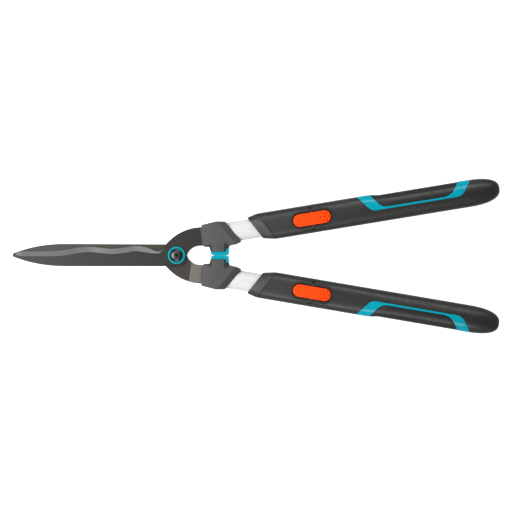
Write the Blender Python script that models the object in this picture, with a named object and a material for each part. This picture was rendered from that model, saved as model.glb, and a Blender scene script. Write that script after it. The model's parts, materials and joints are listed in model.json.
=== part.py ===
"""Telescopic hedge shears: two scissor halves on a pivot bolt, each with a sliding, locking grip.

The shears lie flat, closed and pushed together. The pivot axis is Z. The blades point along -X,
the handles along +X, and z = 0 is the plane that the pivot nut and both grips rest on.
Driving dimensions are in millimetres, and every mesh is scaled to metres as it is made.
"""

import math

import bmesh
import bpy
from mathutils import Matrix

METRES_PER_MM = 0.001
GAP = 0.3                    # clearance between pieces that touch
REACH = 60.0                 # how far a cutter runs past what it cuts

# Heights. The blades meet in one plane, and everything else is placed from it.
BLADE_PLANE_Z = 15.0         # above the surface that the shears lie on
BLADE_THICKNESS = 3.5
BLADE_HALF_GAP = 0.15        # half of the gap between the two blades

# Blades, seen from above: the upper one, whose handle is on the +Y side.
BLADE_HALF_WIDTH = 14.6
TIP_X = -218.1
POINT_START_X = -146.0       # where the straight back starts to curve to the point
POINT_VERTEX_X = -223.2      # where that curve would meet the middle, were the nose not rounded
POINT_CURVE = 2.2            # exponent of that curve
NOSE_LENGTH = 1.8
EDGE_LAND = 0.6              # thickness left at the cutting edge
EYE_CENTRE = (31.7, -5.9)    # circle of the opening behind the pivot
EYE_RADIUS = 18.75
BOSS_CENTRE = (0.6, 1.0)     # circle of the blade's heel round the pivot
BOSS_RADIUS = 15.5
SHOULDER_CENTRE = (34.4, -24.9)   # circle of the tang's outer side
SHOULDER_RADIUS = 62.45
EDGE_WAVE = (                # crests and hollows of the cutting edge, then the twig notch
    (-205.7, 4.5), (-188.0, 4.8), (-170.7, 5.1), (-150.7, 6.5), (-133.0, 9.7),
    (-115.7, 11.2), (-100.0, 9.6), (-85.0, 8.6), (-70.0, 10.3), (-55.5, 12.35),
    (-44.0, 11.3), (-35.7, 8.9), (-26.7, 5.3), (-20.7, 6.4), (-16.2, 9.3),
)
BEVEL_WAVE = (               # where the ground bevel meets the flat of the blade, point for point
    (-203.5, 1.0), (-187.0, -1.7), (-169.5, -1.5), (-150.7, -0.6), (-133.0, 2.5),
    (-115.7, 4.2), (-100.0, 2.7), (-84.0, 1.6), (-69.0, 3.3), (-54.7, 5.5),
    (-44.5, 4.3), (-35.7, 3.1), (-27.5, 2.5), (-21.7, 2.9), (-17.2, 7.0),
)
WAVE_STEPS = 3               # mesh edges between neighbouring points of a wave

# Pivot stack
BOLT_RADIUS = 5.0
BOLT_HEAD_RADIUS = 8.7
BOLT_HEAD_RIM = 1.3
BOLT_HEAD_DOME = 4.2         # height of the head in the middle, were it not for the socket
BOLT_SOCKET = 3.0            # across flats
BOLT_SOCKET_DEPTH = 4.0
RING_RADIUS = 11.7
RING_BORE = 9.0
RING_HEIGHT = 3.4
RING_FLOOR = 1.0
BUSH_WALL = 1.0
PIVOT_HOLE_RADIUS = BOLT_RADIUS + GAP + BUSH_WALL + GAP
WASHER_THICKNESS = 1.2
WASHER_RADIUS = 10.0
NUT_ACROSS_FLATS = 17.0
NUT_BEVEL = 0.7
NUT_FLOOR = 1.7

# Handles: each is laid out along its own axis, s along it and t outwards from it.
HANDLE_ANGLE = math.radians(9.5)
HANDLE_OFFSET_Y = 19.05      # where the axis passes the pivot

# Tube
TUBE_HALF = (13.25, 8.0)     # half width and half height of the oval
TUBE_WALL = 1.9
TUBE_START = 58.0
TUBE_END = 414.0
TUBE_POWER = 2.5             # 2 is an ellipse, more is squarer
GROOVE_WIDTH = 5.0
GROOVE_DEPTH = 1.2
LOCK_POSITIONS = 6
LOCK_PITCH = 50.0
SLIDE_CLEARANCE = 0.4

# Knuckle: the moulded joint between a tang and a tube, with a post that carries the buffer
KNUCKLE_HALF_HEIGHT = 11.5
KNUCKLE_BEVEL = 1.6
POST_END_Y = 5.1
POST_X = (45.6, 66.0)
SLANTED_END = ((86.6, 18.4), (64.7, 45.1))    # inner and outer corner of the end round the tube
BAND_WIDTH = 8.0             # sloping band along the slanted end, above and below
BAND_DROP = (3.4, 1.4)       # at the inner and at the outer corner
TANG_END = 55.0

# Buffer
BUFFER_HALF_HEIGHT = 9.0
PEG_X = 57.5                 # the peg that holds it in the post
PEG_RADIUS = 3.0
PEG_END_Y = 12.0

# Screws in the knuckle, all driven from below: place in the handle's frame, shank radius, tip
TANG_SCREWS = ((41.5, 5.5), (49.5, -3.0))
TANG_SCREW_SHANK = 2.0
TANG_SCREW_TIP = 8.4
TUBE_SCREW = (67.0, -4.5)
TUBE_SCREW_SHANK = 1.6
TUBE_SCREW_TIP = -4.2
SCREW_HEAD_RADIUS = 3.4
SCREW_HEAD_HEIGHT = 2.2
SCREW_HEAD_BOTTOM = 0.6 - KNUCKLE_HALF_HEIGHT

# Grip
GRIP_HALF_WIDTH = 18.85
THUMB_HALF_WIDTH = 17.1      # outer side, where the thumb pad lies
GRIP_TOP = 15.4              # above the axis
FRONT_POWER = 2.6            # squareness of the section ahead of the rocker's end, and behind
REAR_POWER = 2.15
POWER_CHANGE = (210.0, 330.0)
GRIP_STEP = (263.0, 277.0)   # the outer side steps in between these
GRIP_ROUNDING = 390.0        # where the rounded end begins
GRIP_END = 435.9
STEP_STATIONS = (263.0, 267.0, 270.0, 273.0, 277.0, 300.0, 330.0)    # through the step and behind it
END_STATIONS = (390.0, 402.0, 411.0, 419.0, 425.0, 430.0, 433.5, 435.5)
SHELL_END_STATIONS = (390.0, 400.0, 408.0)
GRIP_BORE_END = 418.5
COLLAR_START = 105.9
COLLAR_HALF = (14.7, 11.4)
COLLAR_RIM = 1.2             # full-size length at the collar's back
SEAM = 121.0                 # between the collar and the grip
SLANT = 0.53                 # s lost for each mm outwards, along the collar's slanted front
BUSH_START = 135.0
BUSH_END = 147.0
BUSH_THICKNESS = 1.5
BUSH_SCREW = (139.0, 0.0)    # holds the bush in the grip, from below
BUSH_SCREW_HEAD_RADIUS = 1.5
BUSH_SCREW_SHANK = 1.1
RECESS_SIDE = 1.9            # depth of the inlay's seat at the side, and above and below
RECESS_TOP = 2.6
SKIN_DROP = 0.4              # the thumb pad lies this much lower than the grip

# Lock rocker, in the handle's frame
ROCKER_CENTRE = 182.8
ROCKER_SIZE = (51.5, 17.7)
ROCKER_TOP = 17.0
ROCKER_UNDERSIDE = 13.6
ROCKER_SEAT_MARGIN = 0.8
ROCKER_SEAT_FLOOR = 10.2
BEZEL_SIZE = (60.0, 27.0)
BEZEL_TOP = 16.3
BEZEL_BEVEL = 1.0
BEZEL_ROOT = 9.4             # where the bezel starts, inside the grip
PIN_Z = 12.6
PIN_RADIUS = 1.2
PIN_HALF_LENGTH = 13.2
PIN_NOTCH_OFFSET = 0.8       # from the pin's end to the well over it
TOOTH_S = 160.0
TOOTH_HALF = 1.7
TOOTH_TIP_Z = 7.1
TOOTH_SLOT_SIDE = 0.7        # room beside the tooth, and ahead of and behind its swing
TOOTH_SLOT_AHEAD = 1.3
TOOTH_SLOT_BEHIND = 0.9
LOCK_HOLE_HALF = 2.1
SPRING_RADIUS = 2.0
SPRING_WIRE = 0.45
SPRING_TURNS = 4


def material(name, colour, roughness, metallic=0.0):
    made = bpy.data.materials.new(name)
    made.use_nodes = True
    shader = made.node_tree.nodes["Principled BSDF"]
    shader.inputs["Base Color"].default_value = (*colour, 1.0)
    shader.inputs["Roughness"].default_value = roughness
    shader.inputs["Metallic"].default_value = metallic
    made.diffuse_color = (*colour, 1.0)
    return made


MATERIALS = {
    "blade_steel": ((0.055, 0.055, 0.052), 0.35, 0.8),
    "bright_steel": ((0.42, 0.42, 0.41), 0.32, 1.0),
    "black_steel": ((0.03, 0.028, 0.027), 0.22, 0.9),
    "bronze": ((0.35, 0.24, 0.12), 0.4, 1.0),
    "grey_plastic": ((0.08, 0.078, 0.075), 0.55, 0.0),
    "soft_black": ((0.032, 0.034, 0.034), 0.7, 0.0),
    "turquoise": ((0.0, 0.35, 0.46), 0.45, 0.0),
    "aluminium": ((0.80, 0.80, 0.79), 0.4, 0.6),
    "orange": ((1.0, 0.08, 0.015), 0.4, 0.0),
    "white_plastic": ((0.75, 0.75, 0.72), 0.45, 0.0),
}


def use_material(obj, slot):
    """Each object has a material of its own, named after it."""
    colour, roughness, metallic = MATERIALS[slot]
    obj.data.materials.append(material(f"{obj.name}_{slot}", colour, roughness, metallic))


def make_object(name, mesh_data, slot, parent, side=1):
    """An object from a bmesh in millimetres. side=-1 mirrors it in y."""
    scale = METRES_PER_MM
    mesh_data.transform(Matrix.Diagonal((scale, side * scale, scale, 1.0)))
    bmesh.ops.recalc_face_normals(mesh_data, faces=mesh_data.faces)
    mesh = bpy.data.meshes.new(name)
    mesh_data.to_mesh(mesh)
    mesh_data.free()
    mesh.shade_smooth()
    mesh.set_sharp_from_angle(angle=math.radians(35))
    obj = bpy.data.objects.new(name, mesh)
    bpy.context.scene.collection.objects.link(obj)
    obj.parent = parent
    if slot:
        use_material(obj, slot)
    return obj


def make_cutter(name, mesh_data, parent, side=1):
    obj = make_object(name, mesh_data, None, parent, side)
    obj.hide_render = True
    obj.display_type = "WIRE"
    return obj


def combine(obj, cutter, operation):
    modifier = obj.modifiers.new(cutter.name, "BOOLEAN")
    modifier.operation = operation
    modifier.solver = "EXACT"
    modifier.object = cutter


def make_empty(name, parent=None, location=(0.0, 0.0, 0.0), angle=0.0):
    """A frame for pieces to hang on. location is in millimetres."""
    empty = bpy.data.objects.new(name, None)
    bpy.context.scene.collection.objects.link(empty)
    empty.parent = parent
    empty.location = [value * METRES_PER_MM for value in location]
    empty.rotation_euler = (0.0, 0.0, angle)
    return empty


# Outlines, as lists of (x, y)

def arc(centre, radius, start, end, steps):
    """Points along an arc. Angles are in degrees."""
    points = []
    for i in range(steps + 1):
        angle = math.radians(start + (end - start) * i / steps)
        points.append((centre[0] + radius * math.cos(angle), centre[1] + radius * math.sin(angle)))
    return points


def smooth_through(points, steps):
    """A Catmull-Rom curve through points, with steps edges between neighbours."""
    padded = [points[0], *points, points[-1]]
    curve = []
    for i in range(1, len(padded) - 2):
        before, start, end, after = padded[i - 1:i + 3]
        for k in range(steps):
            u = k / steps
            curve.append(tuple(
                0.5 * (2 * b + (c - a) * u + (2 * a - 5 * b + 4 * c - d) * u * u
                       + (3 * b - a - 3 * c + d) * u ** 3)
                for a, b, c, d in zip(before, start, end, after)
            ))
    curve.append(points[-1])
    return curve


def rounded(corners, steps=3):
    """An outline through (x, y, fillet radius) corners."""
    points = []
    for i, (x, y, radius) in enumerate(corners):
        if radius == 0:
            points.append((x, y))
            continue
        before = corners[i - 1]
        after = corners[(i + 1) % len(corners)]
        back = (before[0] - x, before[1] - y)
        ahead = (after[0] - x, after[1] - y)
        back_length = math.hypot(*back)
        ahead_length = math.hypot(*ahead)
        back = (back[0] / back_length, back[1] / back_length)
        ahead = (ahead[0] / ahead_length, ahead[1] / ahead_length)
        half = math.acos(max(-1.0, min(1.0, back[0] * ahead[0] + back[1] * ahead[1]))) / 2
        cut = radius / math.tan(half)
        start = (x + back[0] * cut, y + back[1] * cut)
        end = (x + ahead[0] * cut, y + ahead[1] * cut)
        for k in range(steps + 1):
            u = k / steps
            points.append((
                (1 - u) ** 2 * start[0] + 2 * u * (1 - u) * x + u * u * end[0],
                (1 - u) ** 2 * start[1] + 2 * u * (1 - u) * y + u * u * end[1],
            ))
    return points


def racetrack(centre_x, length, width, steps=6):
    """A slot shape lying along x, with round ends."""
    radius = width / 2
    reach = length / 2 - radius
    return (arc((centre_x + reach, 0), radius, -90, 90, steps)
            + arc((centre_x - reach, 0), radius, 90, 270, steps))


def shrunk(corners, distance):
    """Counterclockwise (x, y, fillet radius) corners moved inwards, with their fillets to match."""
    points = [(x, y) for x, y, _ in corners]
    moved = []
    for i, (x, y) in enumerate(inset(points, distance)):
        before, here, after = points[i - 1], points[i], points[(i + 1) % len(points)]
        turn = ((here[0] - before[0]) * (after[1] - here[1])
                - (here[1] - before[1]) * (after[0] - here[0]))
        radius = corners[i][2]
        if radius:
            radius = max(0.3, radius - distance) if turn > 0 else radius + distance
        moved.append((x, y, radius))
    return moved


def inset(outline, distance):
    """The outline moved inwards by distance, or outwards where it is negative."""
    area = sum(a[0] * b[1] - b[0] * a[1] for a, b in zip(outline, outline[1:] + outline[:1]))
    sign = 1 if area > 0 else -1
    moved = []
    for i, (x, y) in enumerate(outline):
        before = outline[i - 1]
        after = outline[(i + 1) % len(outline)]
        first = math.atan2(y - before[1], x - before[0])
        second = math.atan2(after[1] - y, after[0] - x)
        turn = (second - first + math.pi) % (2 * math.pi) - math.pi
        normal = first + turn / 2 + sign * math.pi / 2
        reach = distance / math.cos(turn / 2)
        moved.append((x + reach * math.cos(normal), y + reach * math.sin(normal)))
    return moved


def oval(half_width, half_height, power, steps=24):
    """A squarish oval as (t, z) points."""
    points = []
    for i in range(steps):
        angle = 2 * math.pi * (i + 0.5) / steps
        c, s = math.cos(angle), math.sin(angle)
        points.append((
            half_width * math.copysign(abs(c) ** (2 / power), c),
            half_height * math.copysign(abs(s) ** (2 / power), s),
        ))
    return points


# Solids, as bmeshes in millimetres

def skin(rings):
    """A closed solid through rings of equally many (x, y, z) points."""
    mesh_data = bmesh.new()
    rows = [[mesh_data.verts.new(point) for point in ring] for ring in rings]
    count = len(rows[0])
    for lower, upper in zip(rows, rows[1:]):
        for i in range(count):
            j = (i + 1) % count
            mesh_data.faces.new((lower[i], lower[j], upper[j], upper[i]))
    mesh_data.faces.new(rows[0])
    mesh_data.faces.new(rows[-1])
    return mesh_data


def prism(outline, bottom, top):
    return skin([[(x, y, z) for x, y in outline] for z in (bottom, top)])


def stacked(levels):
    """A solid through (outline, z) levels of equally many points."""
    return skin([[(x, y, z) for x, y in outline] for outline, z in levels])


def turned(profile, steps=24, centre=(0.0, 0.0)):
    """A ring turned from a closed profile of (radius, z) points about a vertical axis."""
    mesh_data = bmesh.new()
    rows = []
    for i in range(steps):
        angle = 2 * math.pi * i / steps
        rows.append([
            mesh_data.verts.new((centre[0] + r * math.cos(angle), centre[1] + r * math.sin(angle), z))
            for r, z in profile
        ])
    count = len(profile)
    for i in range(steps):
        here, there = rows[i], rows[(i + 1) % steps]
        for k in range(count):
            m = (k + 1) % count
            mesh_data.faces.new((here[k], there[k], there[m], here[m]))
    return mesh_data


def turned_solid(profile, steps=24, centre=(0.0, 0.0)):
    """A solid turned from (radius, z) points that run from bottom to top, capped at both ends."""
    rings = []
    for r, z in profile:
        ring = [(centre[0] + x, centre[1] + y, z) for x, y in arc((0, 0), r, 0, 360, steps)[:-1]]
        rings.append(ring)
    return skin(rings)


def cross_rod(s, z, radius, half_length, steps=12):
    """A rod across the handle, along t."""
    ring = arc((s, z), radius, 0, 360, steps)[:-1]
    return skin([[(x, t, height) for x, height in ring] for t in (-half_length, half_length)])


def block(low, high):
    return prism([(low[0], low[1]), (high[0], low[1]), (high[0], high[1]), (low[0], high[1])],
                 low[2], high[2])


def sleeve(outer, inner, start, end):
    """A hollow length of oval along s. outer and inner are lists of (t, z) points."""
    mesh_data = bmesh.new()
    rows = []
    for section, station in ((outer, start), (outer, end), (inner, end), (inner, start)):
        rows.append([mesh_data.verts.new((station, t, z)) for t, z in section])
    count = len(outer)
    for i in range(4):
        here, there = rows[i], rows[(i + 1) % 4]
        for k in range(count):
            m = (k + 1) % count
            mesh_data.faces.new((here[k], here[m], there[m], there[k]))
    return mesh_data


def bar(section, start, end):
    """A solid length of one (t, z) section along s."""
    return skin([[(s, t, z) for t, z in section] for s in (start, end)])


def bore_section(extra=0.0):
    """The oval that the tube slides in, or a larger one round it."""
    grown = SLIDE_CLEARANCE + extra
    return oval(TUBE_HALF[0] + grown, TUBE_HALF[1] + grown, TUBE_POWER)


# Blades

def point_curve(x):
    """Half width of the closed pair at x, in the stretch that narrows to the point."""
    u = (POINT_START_X - x) / (POINT_START_X - POINT_VERTEX_X)
    return BLADE_HALF_WIDTH * (1 - u ** POINT_CURVE)


def blade_outlines():
    """The blade's outline, and the same outline with the bevel's upper line in place of the edge."""
    steps = 8
    nose_x = TIP_X + NOSE_LENGTH
    curve = [POINT_START_X + (nose_x - POINT_START_X) * i / steps for i in range(steps)]
    back = [(x, -point_curve(x)) for x in curve]
    nose = [(nose_x - NOSE_LENGTH * c, point_curve(nose_x) * k) for c, k in arc((0, 0), 1, -90, 90, 6)]
    far_side = [(-212.5, 3.7), (-207.6, 4.4)]
    edge = smooth_through(EDGE_WAVE, WAVE_STEPS)
    bevel = smooth_through(BEVEL_WAVE, WAVE_STEPS)
    start_turn = math.degrees(math.atan2(14.6 - SHOULDER_CENTRE[1], -14.0 - SHOULDER_CENTRE[0]))
    shoulder = arc(SHOULDER_CENTRE, SHOULDER_RADIUS, start_turn, 91.0, 9)
    tang = [handle_point(46.0, 11.9), handle_point(52.5, 11.3), handle_point(TANG_END, 8.8),
            handle_point(TANG_END, -7.5), handle_point(52.5, -9.8), handle_point(46.0, -10.1)]
    neck = handle_point(36.5, -10.4)
    eye = arc(EYE_CENTRE, EYE_RADIUS, 80.0, 186.5, 10)
    boss = arc(BOSS_CENTRE, BOSS_RADIUS, -38.0, -90.0, 5)
    # round the tang and the boss, along the back to the point, and up its far side to the edge
    rear = shoulder + tang + [neck] + eye + boss + back + nose + far_side
    return edge + rear, bevel + rear


def handle_point(s, t):
    """A point of the upper handle's frame, in the pivot's frame."""
    c, k = math.cos(HANDLE_ANGLE), math.sin(HANDLE_ANGLE)
    return (s * c - t * k, HANDLE_OFFSET_Y + s * k + t * c)


def make_blade(name, frame, side):
    """The lower blade is the upper one turned over about the X axis."""
    outline, top = blade_outlines()
    low = BLADE_HALF_GAP
    mesh_data = stacked(((outline, low), (outline, low + EDGE_LAND), (top, low + BLADE_THICKNESS)))
    if side < 0:
        mesh_data.transform(Matrix.Rotation(math.pi, 4, "X"))
    obj = make_object(name, mesh_data, "blade_steel", frame)
    holes = [((0.0, 0.0), PIVOT_HOLE_RADIUS)]
    holes += [(handle_point(*place), TANG_SCREW_SHANK + GAP) for place in TANG_SCREWS]
    for i, ((x, y), radius) in enumerate(holes):
        rod = turned_solid([(radius, -REACH), (radius, REACH)], 20, (x, side * y))
        combine(obj, make_cutter(f"{name}_hole_cutter_{i}", rod, frame), "DIFFERENCE")


# Pivot

def make_pivot(frame):
    top = BLADE_HALF_GAP + BLADE_THICKNESS + GAP
    bottom = -top
    head = top + RING_FLOOR + GAP
    bore = BOLT_RADIUS + GAP
    ring = [(bore, top), (RING_RADIUS, top), (RING_RADIUS, top + RING_HEIGHT - 1.0),
            (RING_RADIUS - 1.0, top + RING_HEIGHT), (RING_BORE + 0.6, top + RING_HEIGHT),
            (RING_BORE, top + RING_HEIGHT - 0.6), (RING_BORE, top + RING_FLOOR),
            (bore, top + RING_FLOOR)]
    make_object("pivot_ring", turned(ring, 32), "turquoise", frame)

    nut_top = bottom - WASHER_THICKNESS - GAP
    shank_end = -BLADE_PLANE_Z + NUT_FLOOR + GAP
    rim = head + BOLT_HEAD_RIM
    bolt = [(BOLT_RADIUS - 0.6, shank_end), (BOLT_RADIUS, shank_end + 0.6), (BOLT_RADIUS, head),
            (BOLT_HEAD_RADIUS - 0.3, head), (BOLT_HEAD_RADIUS, head + 0.4), (BOLT_HEAD_RADIUS, rim)]
    for i in range(1, 5):
        angle = math.radians(90 * i / 4.6)
        bolt.append((BOLT_HEAD_RADIUS * math.cos(angle),
                     rim + (BOLT_HEAD_DOME - BOLT_HEAD_RIM) * math.sin(angle)))
    obj = make_object("pivot_bolt", turned_solid(bolt, 28), "black_steel", frame)
    socket = arc((0, 0), BOLT_SOCKET / 2 / math.cos(math.pi / 6), 0, 360, 6)[:-1]
    socket_floor = head + BOLT_HEAD_DOME - BOLT_SOCKET_DEPTH
    cutter = make_cutter("socket_cutter", prism(socket, socket_floor, REACH), frame)
    combine(obj, cutter, "DIFFERENCE")

    half_bush = top - GAP - 0.1
    bush = [(bore, -half_bush), (bore + BUSH_WALL, -half_bush), (bore + BUSH_WALL, half_bush),
            (bore, half_bush)]
    make_object("pivot_bush", turned(bush), "bronze", frame)

    washer = [(bore, bottom - WASHER_THICKNESS), (WASHER_RADIUS, bottom - WASHER_THICKNESS),
              (WASHER_RADIUS, bottom), (bore, bottom)]
    make_object("pivot_washer", turned(washer), "bright_steel", frame)

    corner = NUT_ACROSS_FLATS / 2 / math.cos(math.pi / 6)
    hexagon = arc((0, 0), corner, 0, 360, 6)[:-1]
    foot = -BLADE_PLANE_Z
    levels = ((inset(hexagon, NUT_BEVEL), foot), (hexagon, foot + NUT_BEVEL), (hexagon, nut_top))
    nut = make_object("pivot_nut", stacked(levels), "black_steel", frame)
    blind = turned_solid([(bore, foot + NUT_FLOOR), (bore, REACH)], 20)
    combine(nut, make_cutter("nut_bore_cutter", blind, frame), "DIFFERENCE")


# Knuckle, buffer and the screws that hold the tang and the tube

def knuckle_corners():
    """Corners with fillet radii, counterclockwise: the tang's side, the post, the slanted end."""
    left, right = POST_X
    inner, outer = SLANTED_END
    return [
        (33.1, 40.3, 1.8), (33.5, 26.6, 0), (36.1, 11.4, 2.2), (44.0, 11.4, 3.0),
        (left, POST_END_Y, 0), (right, POST_END_Y, 0), (right, 9.8, 0), (69.9, 9.8, 0),
        (70.6, 13.4, 3.0), (79.8, 15.0, 6.0), (*inner, 0.8), (*outer, 1.6), (52.6, 45.4, 6.0),
    ]


def slanted_band(top):
    """The wedge cut off along the knuckle's slanted end, above or below. It runs past the ends."""
    start, end = SLANTED_END
    length = math.hypot(end[0] - start[0], end[1] - start[1])
    along = ((end[0] - start[0]) / length, (end[1] - start[1]) / length)
    inward = (-along[1], along[0])
    sign = 1 if top else -1
    spare = 5.0
    high = KNUCKLE_HALF_HEIGHT + spare
    rings = []
    for reach in (-spare, length + spare):
        drop = BAND_DROP[0] + (BAND_DROP[1] - BAND_DROP[0]) * reach / length
        low = KNUCKLE_HALF_HEIGHT - drop * (1 + spare / BAND_WIDTH)
        profile = ((-spare, low), (BAND_WIDTH, KNUCKLE_HALF_HEIGHT), (BAND_WIDTH, high), (-spare, high))
        rings.append([
            (start[0] + along[0] * reach + inward[0] * u, start[1] + along[1] * reach + inward[1] * u,
             sign * z) for u, z in profile
        ])
    return skin(rings)


def tang_slot():
    """The room for the tang inside the knuckle, which is open towards the blade."""
    return [handle_point(s, t) for s, t in (
        (20.0, 14.6), (36.0, 13.4), (46.0, 12.3), (52.8, 11.7), (TANG_END + GAP, 9.1),
        (TANG_END + GAP, -7.8), (52.8, -10.2), (46.0, -10.5), (36.8, -10.8), (30.0, -13.8))]


def make_screw(name, place, tip, shank, frame, side):
    face = SCREW_HEAD_BOTTOM
    seat = face + SCREW_HEAD_HEIGHT
    profile = [(SCREW_HEAD_RADIUS - 0.4, face), (SCREW_HEAD_RADIUS, face + 0.4),
               (SCREW_HEAD_RADIUS, seat), (shank, seat), (shank, tip - 1.0), (shank - 0.8, tip)]
    obj = make_object(name, turned_solid(profile, 14, place), "bright_steel", frame, side)
    driver = arc(place, 1.7, 0, 360, 6)[:-1]
    recess = make_cutter(f"{name}_driver_cutter", prism(driver, -REACH, face + 1.2), frame, side)
    combine(obj, recess, "DIFFERENCE")


def screw_room(place, tip, shank):
    """The counterbore and hole for a screw from below."""
    wide, narrow = SCREW_HEAD_RADIUS + GAP, shank + GAP
    seat = SCREW_HEAD_BOTTOM + SCREW_HEAD_HEIGHT + GAP
    return turned_solid([(wide, -REACH), (wide, seat), (narrow, seat), (narrow, tip + 0.5)], 14, place)


def make_knuckle(half, pivot_frame, handle_frame, side):
    name = f"{half}_knuckle"
    full = rounded(knuckle_corners())
    small = rounded(shrunk(knuckle_corners(), KNUCKLE_BEVEL))
    edge = KNUCKLE_HALF_HEIGHT - KNUCKLE_BEVEL
    body = stacked(((small, -KNUCKLE_HALF_HEIGHT), (full, -edge), (full, edge),
                    (small, KNUCKLE_HALF_HEIGHT)))
    obj = make_object(name, body, "grey_plastic", pivot_frame, side)
    low, high = BLADE_HALF_GAP - GAP, BLADE_HALF_GAP + BLADE_THICKNESS + GAP
    if side < 0:
        low, high = -high, -low
    peg_room = cross_bar(PEG_RADIUS + GAP, 0.0, PEG_END_Y + GAP)
    cuts = [
        ("band_above", slanted_band(True), pivot_frame),
        ("band_below", slanted_band(False), pivot_frame),
        ("tang_slot", prism(tang_slot(), low, high), pivot_frame),
        ("peg_room", peg_room, pivot_frame),
        ("tube_socket", tube_socket(), handle_frame),
    ]
    for i, place in enumerate((*TANG_SCREWS, TUBE_SCREW)):
        if place == TUBE_SCREW:
            room = screw_room(place, TUBE_SCREW_TIP, TUBE_SCREW_SHANK)
        else:
            room = screw_room(place, TANG_SCREW_TIP, TANG_SCREW_SHANK)
        cuts.append((f"screw_room_{i}", room, handle_frame))
    for cut_name, mesh_data, frame in cuts:
        cutter = make_cutter(f"{name}_{cut_name}_cutter", mesh_data, frame, side)
        combine(obj, cutter, "DIFFERENCE")
    for i, place in enumerate(TANG_SCREWS):
        make_screw(f"{half}_tang_screw_{i + 1}", place, TANG_SCREW_TIP, TANG_SCREW_SHANK,
                   handle_frame, side)
    make_screw(f"{half}_tube_screw", TUBE_SCREW, TUBE_SCREW_TIP, TUBE_SCREW_SHANK, handle_frame, side)


def tube_socket():
    width, height = TUBE_HALF
    return bar(oval(width + GAP, height + GAP, TUBE_POWER), TUBE_START - GAP, TUBE_START + REACH)


def cross_bar(radius, start_y, end_y):
    """The buffer's peg, or the room for it."""
    ring = arc((PEG_X, 0.0), radius, 0, 360, 12)[:-1]
    return skin([[(x, y, z) for x, z in ring] for y in (start_y, end_y)])


def make_buffer(half, frame, side):
    left, right = POST_X
    pad_top = POST_END_Y - GAP
    outline = rounded([
        (left, pad_top, 0), (left + 0.9, 1.0, 1.0), (50.5, BLADE_HALF_GAP, 0),
        (65.4, BLADE_HALF_GAP, 0), (69.8, 1.0, 1.0), (70.6, 9.5, 0.8), (right + GAP, 9.5, 0),
        (right + GAP, pad_top, 0),
    ])
    obj = make_object(f"{half}_buffer", prism(outline, -BUFFER_HALF_HEIGHT, BUFFER_HALF_HEIGHT),
                      "turquoise", frame, side)
    peg = cross_bar(PEG_RADIUS, pad_top - 1.0, PEG_END_Y)
    combine(obj, make_cutter(f"{half}_buffer_peg", peg, frame, side), "UNION")


# Tube and its guide

def make_tube(half, frame, side):
    width, height = TUBE_HALF
    outer = oval(width, height, TUBE_POWER)
    inner = oval(width - TUBE_WALL, height - TUBE_WALL, TUBE_POWER)
    obj = make_object(f"{half}_tube", sleeve(outer, inner, TUBE_START, TUBE_END), "aluminium",
                      frame, side)
    last = TOOTH_S + (LOCK_POSITIONS - 1) * LOCK_PITCH
    half_groove = GROOVE_WIDTH / 2
    groove = block((TOOTH_S - 3.5, -half_groove, height - GROOVE_DEPTH),
                   (last + 2.8, half_groove, REACH))
    combine(obj, make_cutter(f"{half}_groove_cutter", groove, frame, side), "DIFFERENCE")
    for i in range(LOCK_POSITIONS):
        centre = TOOTH_S + i * LOCK_PITCH
        hole = block((centre - LOCK_HOLE_HALF, -LOCK_HOLE_HALF, 0.0),
                     (centre + LOCK_HOLE_HALF, LOCK_HOLE_HALF, REACH))
        combine(obj, make_cutter(f"{half}_lock_hole_cutter_{i}", hole, frame, side), "DIFFERENCE")
    screw_hole = turned_solid([(TUBE_SCREW_SHANK + GAP, -REACH), (TUBE_SCREW_SHANK + GAP, 0.0)],
                              14, TUBE_SCREW)
    combine(obj, make_cutter(f"{half}_tube_screw_cutter", screw_hole, frame, side), "DIFFERENCE")

    plug = oval(width - TUBE_WALL - GAP, height - TUBE_WALL - GAP, TUBE_POWER)
    flange = oval(width + 0.1, height + 0.1, TUBE_POWER)
    stations = ((plug, TUBE_END - 16.0), (plug, TUBE_END + GAP), (flange, TUBE_END + GAP),
                (flange, TUBE_END + 3.7))
    make_object(f"{half}_tube_guide", skin([[(s, t, z) for t, z in shape] for shape, s in stations]),
                "white_plastic", frame, side)


# Grip

def eased(s, start, end):
    """0 ahead of start and 1 behind end, with a smooth change between."""
    u = min(1.0, max(0.0, (s - start) / (end - start)))
    return u * u * (3 - 2 * u)


def grip_section(outer_half, inner_half, top, power=FRONT_POWER, shrink_t=0.0, shrink_z=0.0):
    """(t, z) points of the grip across its axis, with a flat land underneath to lie on."""
    points = []
    for t, z in oval(1.0, 1.0, power):
        half = outer_half if t > 0 else inner_half
        height = top - shrink_z
        land = min(BLADE_PLANE_Z, top) - shrink_z
        points.append((t * (half - shrink_t), max(z * height, -land)))
    return points


def end_factor(s):
    """How much of the full section is left at s, in the rounded end."""
    if s <= GRIP_ROUNDING:
        return 1.0
    u = (s - GRIP_ROUNDING) / (GRIP_END - GRIP_ROUNDING)
    return max(0.0, 1.0 - u ** FRONT_POWER) ** (1 / FRONT_POWER)


def grip_rings(stations, first_slant, shrink_t=0.0, shrink_z=0.0):
    rings = []
    for i, s in enumerate(stations):
        factor = end_factor(s)
        outer = GRIP_HALF_WIDTH + (THUMB_HALF_WIDTH - GRIP_HALF_WIDTH) * eased(s, *GRIP_STEP)
        power = FRONT_POWER + (REAR_POWER - FRONT_POWER) * eased(s, *POWER_CHANGE)
        section = grip_section(outer * factor, GRIP_HALF_WIDTH * factor, GRIP_TOP * factor, power,
                               shrink_t, shrink_z)
        slant = first_slant if i == 0 else 0.0
        rings.append([(s - slant * t, t, z) for t, z in section])
    return rings


def inlay_outline(margin=0.0):
    """The turquoise frame's outer line, from above. It runs on past the grip's outer side."""
    corners = [(235.5, 30.0, 0), (261.8, -3.3, 13.0), (385.0, -3.3, 18.0), (407.5, 30.0, 0)]
    return inset(rounded(corners, 5), margin)


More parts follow.
